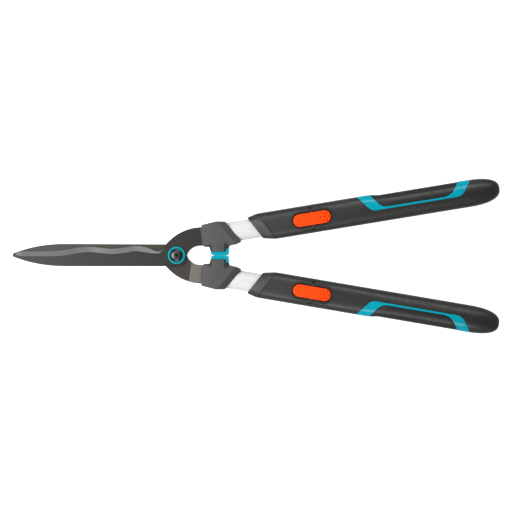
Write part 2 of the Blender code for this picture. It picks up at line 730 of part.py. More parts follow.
def pad_outline(margin=0.0):
    """The thumb pad's line, inside the turquoise frame."""
    corners = [(253.7, 30.0, 0), (275.9, 0.3, 16.0), (368.6, 0.3, 20.0), (391.2, 30.0, 0)]
    return inset(rounded(corners, 5), margin)


def make_grip_body(half, frame, side):
    name = f"{half}_grip_body"
    stations = (SEAM + GAP, 150.0, POWER_CHANGE[0], 235.0, *STEP_STATIONS, *END_STATIONS)
    obj = make_object(name, skin(grip_rings(stations, SLANT)), "grey_plastic", frame, side)
    foot = racetrack(ROCKER_CENTRE, *BEZEL_SIZE)
    bezel = stacked(((foot, BEZEL_ROOT), (foot, BEZEL_TOP - BEZEL_BEVEL),
                     (inset(foot, BEZEL_BEVEL), BEZEL_TOP)))
    combine(obj, make_cutter(f"{name}_bezel", bezel, frame, side), "UNION")

    length, width = (size + 2 * ROCKER_SEAT_MARGIN for size in ROCKER_SIZE)
    seat = prism(racetrack(ROCKER_CENTRE, length, width), ROCKER_SEAT_FLOOR, REACH)
    slot_side = TOOTH_HALF + TOOTH_SLOT_SIDE
    slot = block((TOOTH_S - TOOTH_HALF - TOOTH_SLOT_AHEAD, -slot_side, 0.0),
                 (TOOTH_S + TOOTH_HALF + TOOTH_SLOT_BEHIND, slot_side, REACH))
    screw_hole = BUSH_SCREW_HEAD_RADIUS + 0.4
    core_stations = (200.0, 235.0, *STEP_STATIONS, *SHELL_END_STATIONS)
    core = make_cutter(f"{name}_core_cutter",
                       skin(grip_rings(core_stations, 0.0, RECESS_SIDE, RECESS_TOP)), frame, side)
    recess = make_cutter(f"{name}_recess_cutter", prism(inlay_outline(), -REACH, REACH), frame, side)
    combine(recess, core, "DIFFERENCE")
    combine(obj, recess, "DIFFERENCE")
    cuts = [
        ("seat", seat),
        ("slot", slot),
        ("pin", cross_rod(ROCKER_CENTRE, PIN_Z, PIN_RADIUS + GAP, PIN_HALF_LENGTH + GAP)),
        ("pin_notch_1", pin_notch(1)),
        ("pin_notch_2", pin_notch(-1)),
        ("bore", bar(bore_section(), 0.0, GRIP_BORE_END)),
        ("bush_room", bar(bore_section(BUSH_THICKNESS + GAP), 0.0, BUSH_END + GAP)),
        ("bush_screw", turned_solid([(screw_hole, -REACH), (screw_hole, 0.0)], 12, BUSH_SCREW)),
    ]
    for cut_name, mesh_data in cuts:
        cutter = make_cutter(f"{name}_{cut_name}_cutter", mesh_data, frame, side)
        combine(obj, cutter, "DIFFERENCE")


def pin_notch(end):
    """A small well over one end of the cross pin, through which it is driven out."""
    radius = PIN_RADIUS + 0.1
    return turned_solid([(radius, PIN_Z - 1.6), (radius, REACH)], 12,
                        (ROCKER_CENTRE, end * (PIN_HALF_LENGTH + PIN_NOTCH_OFFSET)))


def make_shell(name, outline, hole, drop, slot, frame, side):
    """A piece of the grip's skin, within outline and outside hole, lying in the grip's recess."""
    middle = (235.0, *STEP_STATIONS, *SHELL_END_STATIONS)
    obj = make_object(name, skin(grip_rings((220.0, *middle, 412.0), 0.0, drop, drop)), slot,
                      frame, side)
    core = skin(grip_rings((215.0, *middle, 417.0), 0.0, RECESS_SIDE - GAP, RECESS_TOP - GAP))
    combine(obj, make_cutter(f"{name}_core_cutter", core, frame, side), "DIFFERENCE")
    region = make_cutter(f"{name}_region", prism(outline, -REACH, REACH), frame, side)
    combine(obj, region, "INTERSECT")
    if hole:
        inside = make_cutter(f"{name}_hole_cutter", prism(hole, -REACH, REACH), frame, side)
        combine(obj, inside, "DIFFERENCE")


def make_collar(half, frame, side):
    name = f"{half}_collar"
    front = oval(*COLLAR_HALF, FRONT_POWER)
    full = grip_section(GRIP_HALF_WIDTH, GRIP_HALF_WIDTH, GRIP_TOP)
    shapes = ((front, COLLAR_START), (full, SEAM - COLLAR_RIM), (full, SEAM))
    rings = [[(s - SLANT * t, t, z) for t, z in shape] for shape, s in shapes]
    obj = make_object(name, skin(rings), "grey_plastic", frame, side)
    hole = bar(bore_section(), 0.0, SEAM + REACH)
    combine(obj, make_cutter(f"{name}_bore_cutter", hole, frame, side), "DIFFERENCE")


def make_slide_bush(half, frame, side):
    """The plastic sleeve that the tube slides in, behind the collar."""
    name = f"{half}_slide_bush"
    body = sleeve(bore_section(BUSH_THICKNESS), bore_section(), BUSH_START, BUSH_END)
    obj = make_object(name, body, "white_plastic", frame, side)
    radius = BUSH_SCREW_SHANK + GAP
    hole = turned_solid([(radius, -REACH), (radius, 0.0)], 12, BUSH_SCREW)
    combine(obj, make_cutter(f"{name}_screw_cutter", hole, frame, side), "DIFFERENCE")


# Lock rocker

def make_rocker(half, frame, side):
    """The rocker's frame lies on its cross pin."""
    name = f"{half}_rocker"
    plan = racetrack(0.0, *ROCKER_SIZE)
    top, underside = ROCKER_TOP - PIN_Z, ROCKER_UNDERSIDE - PIN_Z
    levels = ((plan, underside), (plan, top - 0.9), (inset(plan, 0.9), top - 0.2), (inset(plan, 3.5), top))
    obj = make_object(name, stacked(levels), "orange", frame, side)
    half_boss = ROCKER_SIZE[1] / 2 - 1.5
    boss = arc((0.0, 0.0), 2.3, 180, 360, 6) + [(2.3, underside + 1.0), (-2.3, underside + 1.0)]
    post = skin([[(x, t, z) for x, z in boss] for t in (-half_boss, half_boss)])
    combine(obj, make_cutter(f"{name}_boss", post, frame, side), "UNION")
    cuts = [
        ("spring_room", block((-3.2, -4.0, -5.0), (3.2, 4.0, top - 1.6))),
        ("pin_hole", cross_rod(0.0, 0.0, PIN_RADIUS + GAP, 24.0)),
        ("tooth_socket", block((TOOTH_S - ROCKER_CENTRE - TOOTH_HALF - GAP, -TOOTH_HALF - GAP, -5.0),
                               (TOOTH_S - ROCKER_CENTRE + TOOTH_HALF + GAP, TOOTH_HALF + GAP,
                                underside + 1.8))),
    ]
    for cut_name, mesh_data in cuts:
        cutter = make_cutter(f"{name}_{cut_name}_cutter", mesh_data, frame, side)
        combine(obj, cutter, "DIFFERENCE")

    along = TOOTH_S - ROCKER_CENTRE
    tip = TOOTH_TIP_Z - PIN_Z
    levels = ((TOOTH_HALF - 0.4, tip), (TOOTH_HALF, tip + 0.8), (TOOTH_HALF, underside + 1.5))
    rings = [[(along + x, y, z) for x, y in ((-r, -r), (r, -r), (r, r), (-r, r))] for r, z in levels]
    make_object(f"{half}_lock_tooth", skin(rings), "bright_steel", frame, side)


def make_spring(half, frame, side):
    """A torsion spring's coil round the cross pin."""
    mesh_data = bmesh.new()
    per_turn, around = 8, 4
    total = per_turn * SPRING_TURNS
    pitch = 2 * SPRING_WIRE + 0.35
    rows = []
    for i in range(total + 1):
        angle = 2 * math.pi * i / per_turn
        t = pitch * (i / per_turn - SPRING_TURNS / 2)
        row = []
        for k in range(around):
            turn = math.pi / 4 + 2 * math.pi * k / around
            radius = SPRING_RADIUS + SPRING_WIRE * math.cos(turn) - 0.05
            row.append(mesh_data.verts.new((radius * math.cos(angle), t + SPRING_WIRE * math.sin(turn),
                                            radius * math.sin(angle))))
        rows.append(row)
    for here, there in zip(rows, rows[1:]):
        for k in range(around):
            m = (k + 1) % around
            mesh_data.faces.new((here[k], here[m], there[m], there[k]))
    mesh_data.faces.new(rows[0])
    mesh_data.faces.new(rows[-1])
    make_object(f"{half}_rocker_spring", mesh_data, "bright_steel", frame, side)


def make_grip(half, handle_frame, side):
    grip_frame = make_empty(f"{half}_grip_slide", handle_frame)
    make_collar(half, grip_frame, side)
    make_slide_bush(half, grip_frame, side)
    make_grip_body(half, grip_frame, side)
    head, shank = BUSH_SCREW_HEAD_RADIUS, BUSH_SCREW_SHANK
    screw = turned_solid([(head, -14.6), (head, -11.2), (shank, -11.2), (shank, -8.9)], 10, BUSH_SCREW)
    make_object(f"{half}_bush_screw", screw, "bright_steel", grip_frame, side)
    make_shell(f"{half}_inlay", inlay_outline(GAP), pad_outline(-GAP / 2), 0.0, "turquoise",
               grip_frame, side)
    make_shell(f"{half}_thumb_pad", pad_outline(GAP / 2), None, SKIN_DROP, "soft_black",
               grip_frame, side)
    rocker_frame = make_empty(f"{half}_rocker_axis", grip_frame, (ROCKER_CENTRE, 0.0, PIN_Z))
    make_rocker(half, rocker_frame, side)
    make_spring(half, rocker_frame, side)
    pin = cross_rod(0.0, 0.0, PIN_RADIUS, PIN_HALF_LENGTH)
    make_object(f"{half}_rocker_pin", pin, "bright_steel", rocker_frame, side)


def clear_scene():
    for obj in list(bpy.data.objects):
        bpy.data.objects.remove(obj, do_unlink=True)


def main():
    clear_scene()
    pivot_frame = make_empty("pivot_axis", location=(0.0, 0.0, BLADE_PLANE_Z))
    make_pivot(pivot_frame)
    for half, side in (("upper", 1), ("lower", -1)):
        half_frame = make_empty(f"{half}_half", pivot_frame)
        handle_frame = make_empty(f"{half}_handle", half_frame, (0.0, side * HANDLE_OFFSET_Y, 0.0),
                                  side * HANDLE_ANGLE)
        make_blade(f"{half}_blade", half_frame, side)
        make_knuckle(half, half_frame, handle_frame, side)
        make_buffer(half, half_frame, side)
        make_tube(half, handle_frame, side)
        make_grip(half, handle_frame, side)


main()
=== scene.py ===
"""The looks of the telescopic hedge shears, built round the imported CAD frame.

Shapes are laid out in millimetres in two local frames, the pivot's and each handle's, whose places
come from the CAD joints. s runs along a handle, t outwards from its axis and z up.
"""

import json
import math

import bmesh
import bpy
from mathutils import Matrix, Vector


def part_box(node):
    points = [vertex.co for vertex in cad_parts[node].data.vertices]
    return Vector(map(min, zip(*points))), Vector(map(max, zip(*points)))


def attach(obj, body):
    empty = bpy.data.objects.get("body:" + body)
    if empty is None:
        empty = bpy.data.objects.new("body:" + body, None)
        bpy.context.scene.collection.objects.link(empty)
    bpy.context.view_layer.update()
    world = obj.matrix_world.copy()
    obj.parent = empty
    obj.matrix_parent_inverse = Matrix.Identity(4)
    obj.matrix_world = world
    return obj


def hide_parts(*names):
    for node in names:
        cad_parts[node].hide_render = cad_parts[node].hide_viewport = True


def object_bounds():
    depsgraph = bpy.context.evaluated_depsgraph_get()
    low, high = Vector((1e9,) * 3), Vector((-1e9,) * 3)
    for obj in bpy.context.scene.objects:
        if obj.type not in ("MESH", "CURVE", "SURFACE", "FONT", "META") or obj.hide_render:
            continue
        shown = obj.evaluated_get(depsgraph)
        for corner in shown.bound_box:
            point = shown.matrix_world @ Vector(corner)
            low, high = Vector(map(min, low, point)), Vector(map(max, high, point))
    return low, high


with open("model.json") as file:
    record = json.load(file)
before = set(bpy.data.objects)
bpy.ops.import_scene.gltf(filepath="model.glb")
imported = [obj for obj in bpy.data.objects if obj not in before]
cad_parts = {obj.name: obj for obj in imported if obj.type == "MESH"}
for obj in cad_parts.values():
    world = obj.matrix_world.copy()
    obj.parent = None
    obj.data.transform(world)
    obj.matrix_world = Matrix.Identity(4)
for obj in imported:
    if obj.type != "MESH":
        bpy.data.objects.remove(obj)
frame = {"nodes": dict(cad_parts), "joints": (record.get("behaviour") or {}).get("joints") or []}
CAD_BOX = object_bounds()

MM = 0.001
JOINTS = {joint["name"]: joint for joint in frame["joints"]}
PIVOT = Vector(JOINTS["blade_pivot"]["pos_m"])
SLIDE_AXIS = Vector(JOINTS["upper_telescope"]["axis"])
HANDLE_ANGLE = math.atan2(SLIDE_AXIS.y, SLIDE_AXIS.x)
ROCKER_AT = Vector(JOINTS["upper_rocker_press"]["pos_m"])
ROCKER_S = ROCKER_AT.x / math.cos(HANDLE_ANGLE) / MM
HANDLE_Y = (ROCKER_AT.y - ROCKER_AT.x * math.tan(HANDLE_ANGLE)) / MM
PIN_Z = (ROCKER_AT.z - PIVOT.z) / MM
FLOOR_Z = CAD_BOX[0].z
WHITE = (1.0, 1.0, 1.0, 1.0)
HALVES = (("upper", 1), ("lower", -1))
KNUCKLE_SCREWS = ("tang_screw_1", "tang_screw_2", "tube_screw")

# Blade
TIP_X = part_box("upper_blade")[0].x / MM
BLADE_LOW = (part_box("upper_blade")[0].z - PIVOT.z) / MM
BLADE_HIGH = (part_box("upper_blade")[1].z - PIVOT.z) / MM
BLADE_HALF_WIDTH = 14.9
POINT_START_X, POINT_VERTEX_X, POINT_CURVE = -146.0, -223.2, 2.2
NOSE_LENGTH = 1.8
EDGE_ROUNDING = 0.35  # small chamfer along the blade's back and tang
EDGE_LAND = 0.45  # thickness left at the cutting edge
BEVEL_FALL = 0.44  # the ground bevel falls this much per millimetre
EYE = ((31.7, -5.9), 18.75, 80.0, 186.5)  # the tang's inner arc: centre, radius, first and last angle
BOSS = ((0.6, 1.0), 15.5, -38.0, -90.0)  # the arc round the pivot, likewise
SHOULDER_CENTRE, SHOULDER_RADIUS, SHOULDER_END = (34.4, -24.9), 62.45, 91.0
SHOULDER_START = (-14.0, 14.6)  # end of the straight blade
COATING_END = ((34.1, 15.1), (31.7, 37.2))  # a line across the tang
INNER_COATING_END = ((16.4, -34.2), (19.7, -10.9))  # the same on the side that faces the other blade
EDGE_START = (-214.6, 3.25)  # where the rounded nose meets the cutting edge
EDGE_WAVE = (
    (-213.4, 3.55), (-209.8, 4.15), (-205.7, 4.5), (-188.0, 4.8), (-170.7, 5.1), (-150.7, 6.5),
    (-133.0, 9.7), (-115.7, 11.2), (-100.0, 9.6), (-85.0, 8.6), (-70.0, 10.3), (-55.5, 12.35),
    (-44.0, 11.3), (-35.7, 8.9), (-26.7, 5.3), (-20.7, 6.4), (-16.2, 9.3),
)
BEVEL_WAVE = (
    (-214.6, 0.3), (-209.6, -0.9), (-203.5, -1.5), (-187.0, -1.7), (-169.5, -1.5), (-150.7, -0.6),
    (-133.0, 2.5), (-115.7, 4.2), (-100.0, 2.7), (-84.0, 1.6), (-69.0, 3.3), (-54.7, 5.5),
    (-44.5, 4.3), (-35.7, 3.1), (-27.5, 2.5), (-21.7, 2.9), (-17.2, 7.0),
)
TANG = (  # the tang's end, as (s, t) in the handle's frame
    (46.0, 11.9), (52.5, 11.3), (55.0, 8.8), (55.0, -7.5), (52.5, -9.8), (46.0, -10.1), (36.5, -10.4),
)

# Pivot
PIVOT_HOLE_RADIUS = 6.6
BOLT_HOLE_RADIUS = 5.3  # through ring, washer and nut
SHANK_RADIUS, RIM_HEIGHT = 5.0, 1.2
SOCKET_ACROSS, SOCKET_DEPTH = 2.8, 3.6  # the bolt's hexagon socket
RING_INSET, RING_BORE, RING_FLOOR = 0.2, 9.1, 1.0
NUT_FLOOR = 1.7  # closes the cap nut's lower end

# Handle parts
TUBE_HALF = (13.25, 8.0)
TUBE_WALL = 1.9
TUBE_START, TUBE_END = 58.0, 414.0
TUBE_POWER = 2.5
TOOTH_S, LOCK_PITCH, LOCK_POSITIONS = 160.0, 50.0, 6
GROOVE_WIDTH, GROOVE_DEPTH, GROOVE_SPARE = 5.0, 1.2, (3.5, 2.8)  # spare past the first and last hole
LOCK_HOLE = 4.2
BORE_HALF = (13.65, 8.4)  # the grip's and collar's bore
KNUCKLE_HALF_HEIGHT, KNUCKLE_ROUNDING = 11.5, 1.5
KNUCKLE_END = ((86.6, 18.4), (64.7, 45.1))  # inner and outer corner of the slanted end
BAND_WIDTH, BAND_DROP = 8.0, (3.0, 2.6)  # the drop is at the inner and the outer corner
TANG_ROOM = (  # the tang's slot, as (s, t) in the handle's frame
    (20.0, 14.6), (36.0, 13.4), (46.0, 12.3), (52.8, 11.7), (55.3, 9.1),
    (55.3, -7.8), (52.8, -10.2), (46.0, -10.5), (36.8, -10.8), (30.0, -13.8),
)
POST_X, POST_END_Y = (45.6, 66.0), 5.1  # the knuckle's post, which carries the buffer
POST_LAND = (47.9, 63.3)  # the level middle of the post
BUFFER_ROUNDING, BUFFER_FACE_Y = 0.7, 0.03
HEAD_RADIUS, HEAD_HEIGHT = 3.4, 2.2  # screw heads
BUSH_SCREW_HOLE = 1.9  # radius
GRIP_HALF_WIDTH, THUMB_HALF_WIDTH = 18.85, 17.1
GRIP_TOP = 15.4
FRONT_POWER, REAR_POWER = 2.6, 2.15  # squareness of the grip's section, ahead and behind
POWER_CHANGE = (210.0, 330.0)
GRIP_STEP = (263.0, 277.0)
GRIP_ROUNDING, GRIP_END, GRIP_BORE_END = 390.0, 435.9, 418.5
COLLAR_START, COLLAR_HALF, COLLAR_RIM = 106.2, (15.4, 11.4), 0.4
SEAM, SLANT = 121.4, 0.535  # where collar and grip meet, and how far that leans per millimetre
JOINT_DEPTH, JOINT_REACH = 0.8, (1.0, 1.3)  # a black sheet of painted shade under the groove between collar and grip
GAP = 0.3  # between neighbouring pieces
RECESS_SIDE, RECESS_TOP = 1.9, 2.6
INLAY_CORNERS = ((236.6, 30.0, 0), (262.9, -3.3, 13.0), (385.5, -3.3, 18.0), (408.0, 30.0, 0))
PAD_CORNERS = ((255.1, 30.0, 0), (277.3, -0.15, 16.0), (369.6, -0.15, 20.0), (392.2, 30.0, 0))
BUSH_ROOM, BUSH_END = 1.8, 147.3  # round the tube, behind the collar
ROCKER_SIZE, ROCKER_TOP, ROCKER_UNDERSIDE = (51.5, 17.7), 17.0, 13.6
ROCKER_PLAY = 0.45  # the visible rocker is this much smaller all round
ROCKER_ROUNDING = 1.5
DIMPLE_RADIUS, DIMPLE_DEPTH = 1.0, 1.6
SEAT_MARGIN, SEAT_FLOOR = 1.1, 10.2
PIN_RADIUS, PIN_HALF_LENGTH, PIN_BOSS_RADIUS = 1.5, 13.2, 2.3
WELL_RADIUS, WELL_FLOOR = 1.25, PIN_Z - 4.0
BEZEL_SIZE, BEZEL_TOP = (60.0, 27.0), 16.3
SKIN_DROP = 0.4  # the thumb pad lies this much under the grip's skin
SCOOP_DEPTH, SCOOP_WIDTH, SCOOP_S, SCOOP_SLANT = 0.9, 9.0, 276.0, 0.75  # in the thumb pad's front
DOT_RADIUS, DOT_HEIGHT, DOT_PITCH = 0.9, 0.5, 10.2
DOT_ROWS = ((-7.6, 279.5, 13), (-11.2, 284.0, 12), (-14.9, 279.5, 11))  # t, first s, and how many
AROUND = 112  # mesh edges round a grip or tube
FAR = 60.0  # cutters reach this far, past every surface


# Frames

def pivot_frame(side=1):
    """Millimetres round the pivot to metres in the shared frame. side=-1 mirrors in y."""
    return Matrix.Translation(PIVOT) @ Matrix.Diagonal((MM, side * MM, MM, 1.0))


def handle_frame(side=1):
    """Millimetres along, across and above a handle's axis to metres in the shared frame."""
    shift = Matrix.Translation((0.0, HANDLE_Y, 0.0))
    return pivot_frame(side) @ shift @ Matrix.Rotation(HANDLE_ANGLE, 4, "Z")


def handle_point(s, t):
    """A handle's (s, t) in the pivot's frame."""
    c, k = math.cos(HANDLE_ANGLE), math.sin(HANDLE_ANGLE)
    return (s * c - t * k, HANDLE_Y + s * k + t * c)


def span(node):
    """A CAD piece's lowest and highest z round the pivot, and half its width along x, in millimetres."""
    low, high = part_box(node)
    return (low.z - PIVOT.z) / MM, (high.z - PIVOT.z) / MM, (high.x - low.x) / 2 / MM


# Outlines

def arc(centre, radius, start, end, steps):
    points = []
    for i in range(steps + 1):
        angle = math.radians(start + (end - start) * i / steps)
        points.append((centre[0] + radius * math.cos(angle), centre[1] + radius * math.sin(angle)))
    return points


def smooth_through(points, steps):
    """A Catmull-Rom curve through points, with steps edges between neighbours."""
    padded = [points[0], *points, points[-1]]
    curve = []
    for i in range(1, len(padded) - 2):
        before, start, end, after = padded[i - 1:i + 3]
        for k in range(steps):
            u = k / steps
            curve.append(tuple(
                0.5 * (2 * b + (c - a) * u + (2 * a - 5 * b + 4 * c - d) * u * u
                       + (3 * b - a - 3 * c + d) * u ** 3)
                for a, b, c, d in zip(before, start, end, after)
            ))
    curve.append(points[-1])
    return curve


def rounded(corners, steps=10):
    """An outline through (x, y, fillet radius) corners."""
    points = []
    for i, (x, y, radius) in enumerate(corners):
        if radius == 0:
            points.append((x, y))
            continue
        before, after = corners[i - 1], corners[(i + 1) % len(corners)]
        back = Vector((before[0] - x, before[1] - y)).normalized()
        ahead = Vector((after[0] - x, after[1] - y)).normalized()
        cut = radius / math.tan(back.angle(ahead) / 2)
        start, end, corner = back * cut, ahead * cut, Vector((x, y))
        for k in range(steps + 1):
            u = k / steps
            points.append(tuple(corner + start * (1 - u) ** 2 + end * u * u))
    return points


def racetrack(centre_x, length, width, steps=28):
    radius = width / 2
    reach = length / 2 - radius
    return (arc((centre_x + reach, 0), radius, -90, 90, steps)
            + arc((centre_x - reach, 0), radius, 90, 270, steps))


def shrunk(corners, distance):
    """Counterclockwise (x, y, fillet radius) corners moved inwards, with their fillets to match."""
    points = [(x, y) for x, y, _ in corners]
    moved = []
    for i, (x, y) in enumerate(inset(points, distance)):
        before, here, after = (Vector(points[k]) for k in (i - 1, i, (i + 1) % len(points)))
        convex = (here - before).cross(after - here) > 0
        radius = corners[i][2]
        if radius:
            radius = max(0.3, radius - distance) if convex else radius + distance
        moved.append((x, y, radius))
    return moved


def inset(outline, distance):
    """The outline moved inwards by distance, or outwards where it is negative."""
    area = sum(a[0] * b[1] - b[0] * a[1] for a, b in zip(outline, outline[1:] + outline[:1]))
    sign = 1 if area > 0 else -1
    moved = []
    for i, (x, y) in enumerate(outline):
        before, after = outline[i - 1], outline[(i + 1) % len(outline)]
        first = math.atan2(y - before[1], x - before[0])
        second = math.atan2(after[1] - y, after[0] - x)
        turn = (second - first + math.pi) % (2 * math.pi) - math.pi
        normal = first + turn / 2 + sign * math.pi / 2
        reach = distance / max(0.3, math.cos(turn / 2))
        moved.append((x + reach * math.cos(normal), y + reach * math.sin(normal)))
    return moved


def oval(half_width, half_height, power, steps=AROUND):
    points = []
    for i in range(steps):
        angle = 2 * math.pi * (i + 0.5) / steps
        c, s = math.cos(angle), math.sin(angle)
        points.append((
            half_width * math.copysign(abs(c) ** (2 / power), c),
            half_height * math.copysign(abs(s) ** (2 / power), s),
        ))
    return points


# Solids, as bmeshes in millimetres

def skin(rings, closed=False):
    """A solid through rings of equally many points, capped at both ends, or joined end to end."""
    shape = bmesh.new()
    rows = [[shape.verts.new(point) for point in ring] for ring in rings]
    count = len(rows[0])
    pairs = list(zip(rows, rows[1:]))
    if closed:
        pairs.append((rows[-1], rows[0]))
    for lower, upper in pairs:
        for i in range(count):
            j = (i + 1) % count
            shape.faces.new((lower[i], lower[j], upper[j], upper[i]))
    if not closed:
        shape.faces.new(rows[0])
        shape.faces.new(rows[-1])
    return shape


def prism(outline, bottom, top):
    return skin([[(x, y, z) for x, y in outline] for z in (bottom, top)])


def stacked(levels):
    """A solid through (outline, z) levels."""
    return skin([[(x, y, z) for x, y in outline] for outline, z in levels])


def along(sections, slant=0.0, closed=False):
    """A solid through (section of (t, z) points, s) stations."""
    return skin([[(s - slant * t, t, z) for t, z in section] for section, s in sections], closed)


def turned(profile, steps=96, centre=(0.0, 0.0), closed=False):
    """(radius, z) points turned about an upright axis: a solid from first to last, or a closed ring."""
    rings = []
    for r, z in profile:
        rings.append([(centre[0] + x, centre[1] + y, z) for x, y in arc((0, 0), r, 0, 360, steps)[:-1]])
    return skin(rings, closed)


def cylinder(radius, bottom, top, steps, centre=(0.0, 0.0)):
    return turned([(radius, bottom), (radius, top)], steps, centre)


def cross_rod(s, z, radius, half_length):
    """A rod across the handle."""
    ring = arc((s, z), radius, 0, 360, 32)[:-1]
    return skin([[(x, t, height) for x, height in ring] for t in (-half_length, half_length)])


def rounded_levels(corners, half_height, rounding):
    """Levels of a plate whose upper and lower edges are rounded."""
    steps = 6
    levels = []
    for i in range(steps + 1):
        angle = math.pi / 2 * i / steps
        levels.append((rounded(shrunk(corners, rounding * (1 - math.sin(angle)))),
                       -half_height + rounding * (1 - math.cos(angle))))
    return levels + [(outline, -z) for outline, z in reversed(levels)]


def block(low, high):
    return prism([(low[0], low[1]), (high[0], low[1]), (high[0], high[1]), (low[0], high[1])],
                 low[2], high[2])


# Pieces

def new_object(name, shape, place, sharp=32, materials=()):
    """A mesh object. Materials given here keep their faces through Boolean operations."""
    shape.transform(place)
    bmesh.ops.recalc_face_normals(shape, faces=shape.faces)
    mesh = bpy.data.meshes.new(name)
    shape.to_mesh(mesh)
    shape.free()
    for made in materials:
        mesh.materials.append(made)
    mesh.shade_smooth()
    mesh.set_sharp_from_angle(angle=math.radians(sharp))
    return add_object(name, mesh)


def add_object(name, data):
    obj = bpy.data.objects.new(name, data)
    bpy.context.scene.collection.objects.link(obj)
    return obj


def cut(obj, cutters, place, operation="DIFFERENCE"):
    """Boolean operations with one bmesh after another."""
    for shape in cutters:
        cut_with(obj, new_object("tool", shape, place), operation)


def cut_with(obj, tool, operation="DIFFERENCE"):
    """One Boolean operation, which uses the tool up."""
    modifier = obj.modifiers.new("cut", "BOOLEAN")
    modifier.operation = operation
    modifier.solver = "EXACT"
    modifier.object = tool
    bake_modifiers(obj)
    bpy.data.objects.remove(tool)


def bake_modifiers(obj):
    depsgraph = bpy.context.evaluated_depsgraph_get()
    mesh = bpy.data.meshes.new_from_object(obj.evaluated_get(depsgraph))
    old = obj.data
    obj.modifiers.clear()
    obj.data = mesh
    bpy.data.meshes.remove(old)


def soften(obj, width, segments=2, angle=40):
    """Rounded edges, width in millimetres."""
    modifier = obj.modifiers.new("soften", "BEVEL")
    modifier.width = width * MM
    modifier.segments = segments
    modifier.limit_method = "ANGLE"
    modifier.angle_limit = math.radians(angle)
    bake_modifiers(obj)
    obj.data.shade_smooth()
    sharpen(obj, 50)


def sharpen(obj, angle):
    """Edges over this many degrees are shaded as sharp."""
    obj.data.set_sharp_from_angle(angle=math.radians(angle))


def paint_inside(obj, place, centres, radius, low, high):
    """Gives faces between two heights, within radius of any centre, the second material, which is always a
    painted shade here.
    """
    to_local = place.inverted()
    for face in obj.data.polygons:
        x, y, z = to_local @ face.center
        if low < z < high and any(math.dist((x, y), centre) < radius for centre in centres):
            face.material_index = 1


def install(obj, body, material=None, replaces=None):
    """Hands a finished piece over to the frame."""
    if material:
        obj.data.materials.clear()
        obj.data.materials.append(material)
    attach(obj, body)
    if replaces:
        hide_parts(replaces)


# Materials

def shader_of(name):
    made = bpy.data.materials.new(name)
    made.use_nodes = True
    return made, made.node_tree, made.node_tree.nodes["Principled BSDF"]


def set_inputs(node, values):
    for socket, value in values.items():
        node.inputs[socket].default_value = value


def link_inputs(tree, node, outputs):
    for socket, output in outputs.items():
        tree.links.new(output, node.inputs[socket])


def linear(red, green, blue):
    """Scene-linear colour from an sRGB colour given as 0 to 255."""
    return tuple((v / 255 / 12.92) if v / 255 <= 0.04045 else ((v / 255 + 0.055) / 1.055) ** 2.4
                 for v in (red, green, blue))


def add_noise(tree, scale, detail=3.0, stretch=(1.0, 1.0, 1.0)):
    coordinates = tree.nodes.new("ShaderNodeTexCoord")
    mapping = tree.nodes.new("ShaderNodeMapping")
    mapping.inputs["Scale"].default_value = stretch
    noise = tree.nodes.new("ShaderNodeTexNoise")
    set_inputs(noise, {"Scale": scale, "Detail": detail, "Roughness": 0.55})
    tree.links.new(coordinates.outputs["Object"], mapping.inputs["Vector"])
    tree.links.new(mapping.outputs["Vector"], noise.inputs["Vector"])
    return noise.outputs["Fac"]


def add_range(tree, value, low, high, to_low, to_high):
    node = tree.nodes.new("ShaderNodeMapRange")
    tree.links.new(value, node.inputs["Value"])
    set_inputs(node, {"From Min": low, "From Max": high, "To Min": to_low, "To Max": to_high})
    return node.outputs["Result"]


def noise_range(tree, noise, low=0.0, high=1.0):
    """A noise, whose values lie mostly between 0.3 and 0.7, spread over a range."""
    return add_range(tree, noise, 0.3, 0.7, low, high)


def add_mix(tree, factor, first, second):
    """A colour between two, each a colour or an output."""
    node = tree.nodes.new("ShaderNodeMix")
    node.data_type = "RGBA"
    tree.links.new(factor, node.inputs["Factor"])
    for name, colour in (("A", first), ("B", second)):
        socket = [s for s in node.inputs if s.name == name and s.type == "RGBA"][0]
        if isinstance(colour, tuple):
            socket.default_value = (*colour, 1.0)
        else:
            tree.links.new(colour, socket)
    return [s for s in node.outputs if s.type == "RGBA"][0]


def add_bump(tree, height, strength, distance):
    node = tree.nodes.new("ShaderNodeBump")
    set_inputs(node, {"Strength": strength, "Distance": distance})
    tree.links.new(height, node.inputs["Height"])
    return node.outputs["Normal"]


def scaled(colour, factor):
    return tuple(min(1.0, v * factor) for v in colour)


def add_tint(tree, noise, colour, contrast):
    """A colour that a noise makes darker and lighter by contrast."""
    darker, lighter = scaled(colour, 1 - contrast), scaled(colour, 1 + contrast)
    return add_mix(tree, noise_range(tree, noise), darker, lighter)


def moulded(name, colour, roughness, grain=1400.0, grain_depth=0.00006, mottle=0.10, specular=0.5,
            sheen=0.0):
    """A moulded plastic or rubber: fine spark-eroded grain, a little mottling, uneven gloss."""
    made, tree, shader = shader_of(name)
    tint = add_tint(tree, add_noise(tree, 45.0, 4.0), colour, mottle)
    gloss = noise_range(tree, add_noise(tree, 160.0), roughness - 0.05, roughness + 0.06)
    normal = add_bump(tree, add_noise(tree, grain, 2.0), 0.35, grain_depth)
    link_inputs(tree, shader, {"Base Color": tint, "Roughness": gloss, "Normal": normal})
    set_inputs(shader, {"Specular IOR Level": specular, "Sheen Weight": sheen})
    return made


def glossy(name, colour, roughness, specular):
    """A smooth, evenly coloured plastic."""
    return moulded(name, colour, roughness, grain_depth=0.00001, mottle=0.01, specular=specular)


